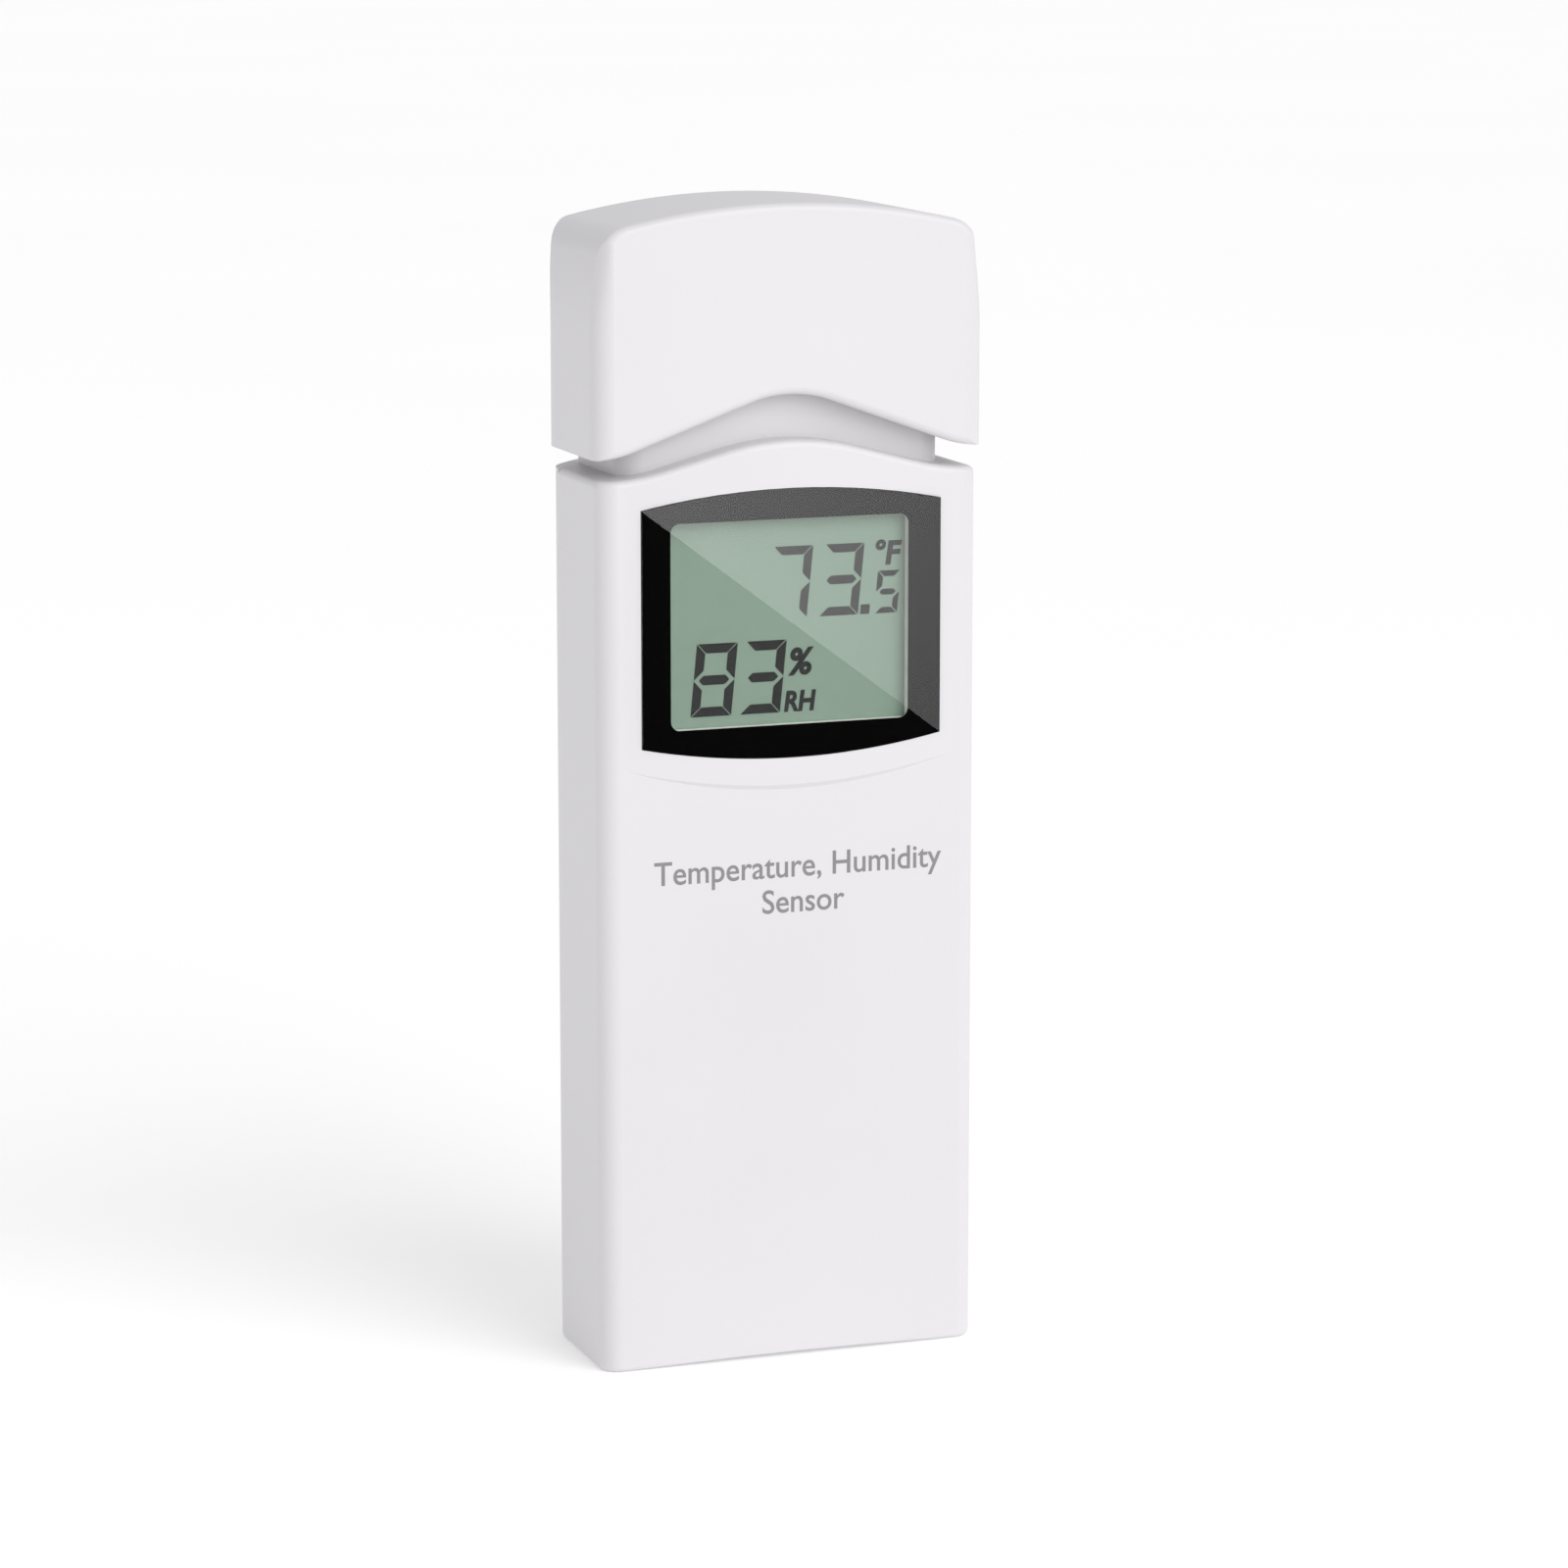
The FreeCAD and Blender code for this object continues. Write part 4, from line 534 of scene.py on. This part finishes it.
# %% Panel printing
dark_ink = surface("pad_printed_dark_ink", "2c2c2e", "343436", 0.5, drift=3, grain=0.2, relief=0.004)
PANEL_FACE = 3.6 * MM + 0.012 * MM
FIGURES_FOOT, WORD_FOOT = 60.2 * MM, 62.2 * MM
NARROW_FIGURE, WIDE_FIGURE = 0.35, 0.75
for number in (1, 2, 3, 4):
    low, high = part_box(f"dip_lever_{number}")
    spot = ((low.x + high.x) / 2, PANEL_FACE, FIGURES_FOOT)
    figure = 5 - number
    width = NARROW_FIGURE if figure == 1 else WIDE_FIGURE
    letters = printed(str(figure), 1.1, width, spot, outwards=1)
    finish_piece(f"panel_number_{figure}", letters, dark_ink)
low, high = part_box("reset_plunger")
spot = ((low.x + high.x) / 2, PANEL_FACE, WORD_FOOT)
finish_piece("panel_reset_word", printed("RESET", 1.0, 3.6, spot, outwards=1), dark_ink)
print("panel printed")

# %% [markdown]
# The camera stands a little above the window and to the left, about half a metre away, with a long lens,
# so the box's upright edges stay almost parallel. The view turns 20 degrees right and looks about 10 down.

# %% Camera
LOOKS_DOWN, TURNS_RIGHT = 0.1825, 0.3502
camera_data = bpy.data.cameras.new("camera")
camera_data.lens = 121.03
camera_data.sensor_width = 36
camera = bpy.data.objects.new("camera", camera_data)
camera.location = (-182.92 * MM, -507.65 * MM, 158.66 * MM)
camera.rotation_euler = (math.pi / 2 - LOOKS_DOWN, 0, -TURNS_RIGHT)
bpy.context.scene.collection.objects.link(camera)
bpy.context.scene.camera = camera
print("camera lens", camera_data.lens, "mm")

# %% [markdown]
# The studio is a pale floor, a white sky, one broad lamp and a smaller soft box, both high up in front and
# to the right, so the front is bright and the left side falls off. The standard view keeps the white
# plastic white.

# %% Floor, sky and lamp
scene = bpy.context.scene
scene.view_settings.view_transform = "Standard"
world = bpy.data.worlds.new("studio_sky")
world.use_nodes = True
world.node_tree.nodes["Background"].inputs["Color"].default_value = colour("ffffff")
world.node_tree.nodes["Background"].inputs["Strength"].default_value = 0.66
scene.world = world

lamp_data = bpy.data.lights.new("soft_lamp", "SUN")
lamp_data.energy = 1.1
lamp_data.angle = math.radians(50)
lamp = bpy.data.objects.new("soft_lamp", lamp_data)
lamp.rotation_euler = (math.radians(60), 0, math.radians(26))
scene.collection.objects.link(lamp)

box_data = bpy.data.lights.new("soft_box", "AREA")
box_data.size = 0.4
box_data.energy = 0.5
soft_box = bpy.data.objects.new("soft_box", box_data)
soft_box.location = (0.25, -0.5, 0.6)
soft_box.rotation_euler = (math.radians(45), 0, math.radians(27))
scene.collection.objects.link(soft_box)

pale = surface("pale_studio_paper", "f6f6f6", "fafafa", 0.9, drift=300, grain=2, relief=0.002,
               Emission_Color=colour("ffffff"), Emission_Strength=0.2)


def stage_plane(name, width, height, material, middle, turn):
    """A flat sheet of the studio, width by height in mm, turned by three angles in degrees."""
    shape = bmesh.new()
    bmesh.ops.create_grid(shape, x_segments=1, y_segments=1, size=0.5)
    bmesh.ops.scale(shape, verts=shape.verts, vec=(width * MM, height * MM, 1))
    mesh = bpy.data.meshes.new(name)
    shape.to_mesh(mesh)
    shape.free()
    mesh.materials.append(material)
    sheet = bpy.data.objects.new(name, mesh)
    sheet.location = [c * MM for c in middle]
    sheet.rotation_euler = [math.radians(angle) for angle in turn]
    scene.collection.objects.link(sheet)
    return sheet


FLOOR_SIDE, FLOOR_DROP = 12000, 0.05
stage_plane("floor", FLOOR_SIDE, FLOOR_SIDE, pale, (0, 0, -FLOOR_DROP), (0, 0, 0))
print("studio ready")

# %% [markdown]
# A polished window is only seen by what it mirrors. Two cards stand in front, out of view: a black
# one and a glowing one, edge to edge on a slope, so that the window shows a straight diagonal of glare.
# Only mirrored rays see the cards, so they don't change how the plastic is lit.

# %% Cards for the window to mirror
black_card = surface("black_card", "010101", "020202", 0.9)
glow, tree, shader, place = blank("glowing_card", 0.9)
fade = add(tree, "SeparateXYZ", None, {"Vector": place}).outputs["X"]
falling = {"From Min": -30 * MM, "From Max": 40 * MM, "To Min": 2.4, "To Max": 0.9}
power = add(tree, "MapRange", falling, {"Value": fade})
tree.links.new(power.outputs["Result"], shader.inputs["Emission Strength"])
shader.inputs["Emission Color"].default_value = colour("ffffff")

CARD_DEPTH = -300
CARD_WIDE, CARD_TALL = 160, 80
LENS_ARC_RISE = 1.7
lens_low, lens_high = (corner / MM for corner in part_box("display_window"))
mirrored = Vector((camera.location.x / MM, 2 * lens_low.y - camera.location.y / MM,
                   camera.location.z / MM))


def seen_in_window(x, z):
    """Where the sight line that the window mirrors at x and z meets the cards' depth, in mm."""
    reach = (mirrored.y - CARD_DEPTH) / (mirrored.y - lens_low.y)
    return mirrored.x + (x - mirrored.x) * reach, mirrored.z + (z - mirrored.z) * reach


top_left = seen_in_window(lens_low.x, lens_high.z - LENS_ARC_RISE)
bottom_right = seen_in_window(lens_high.x, lens_low.z + LENS_ARC_RISE)
slope = math.degrees(math.atan2(bottom_right[1] - top_left[1], bottom_right[0] - top_left[0]))
middle_x, middle_z = ((a + b) / 2 for a, b in zip(top_left, bottom_right))
for name, material, side in (("glowing_card", glow, 1), ("black_card", black_card, -1)):
    across = math.radians(slope + 90)
    spot = (middle_x + side * CARD_TALL / 2 * math.cos(across), CARD_DEPTH,
            middle_z + side * CARD_TALL / 2 * math.sin(across))
    card = stage_plane(name, CARD_WIDE, CARD_TALL, material, spot, (90, -slope, 0))
    card.visible_camera = card.visible_diffuse = False
    card.visible_shadow = card.visible_transmission = False
print("card edge slopes by", round(slope, 1), "degrees")
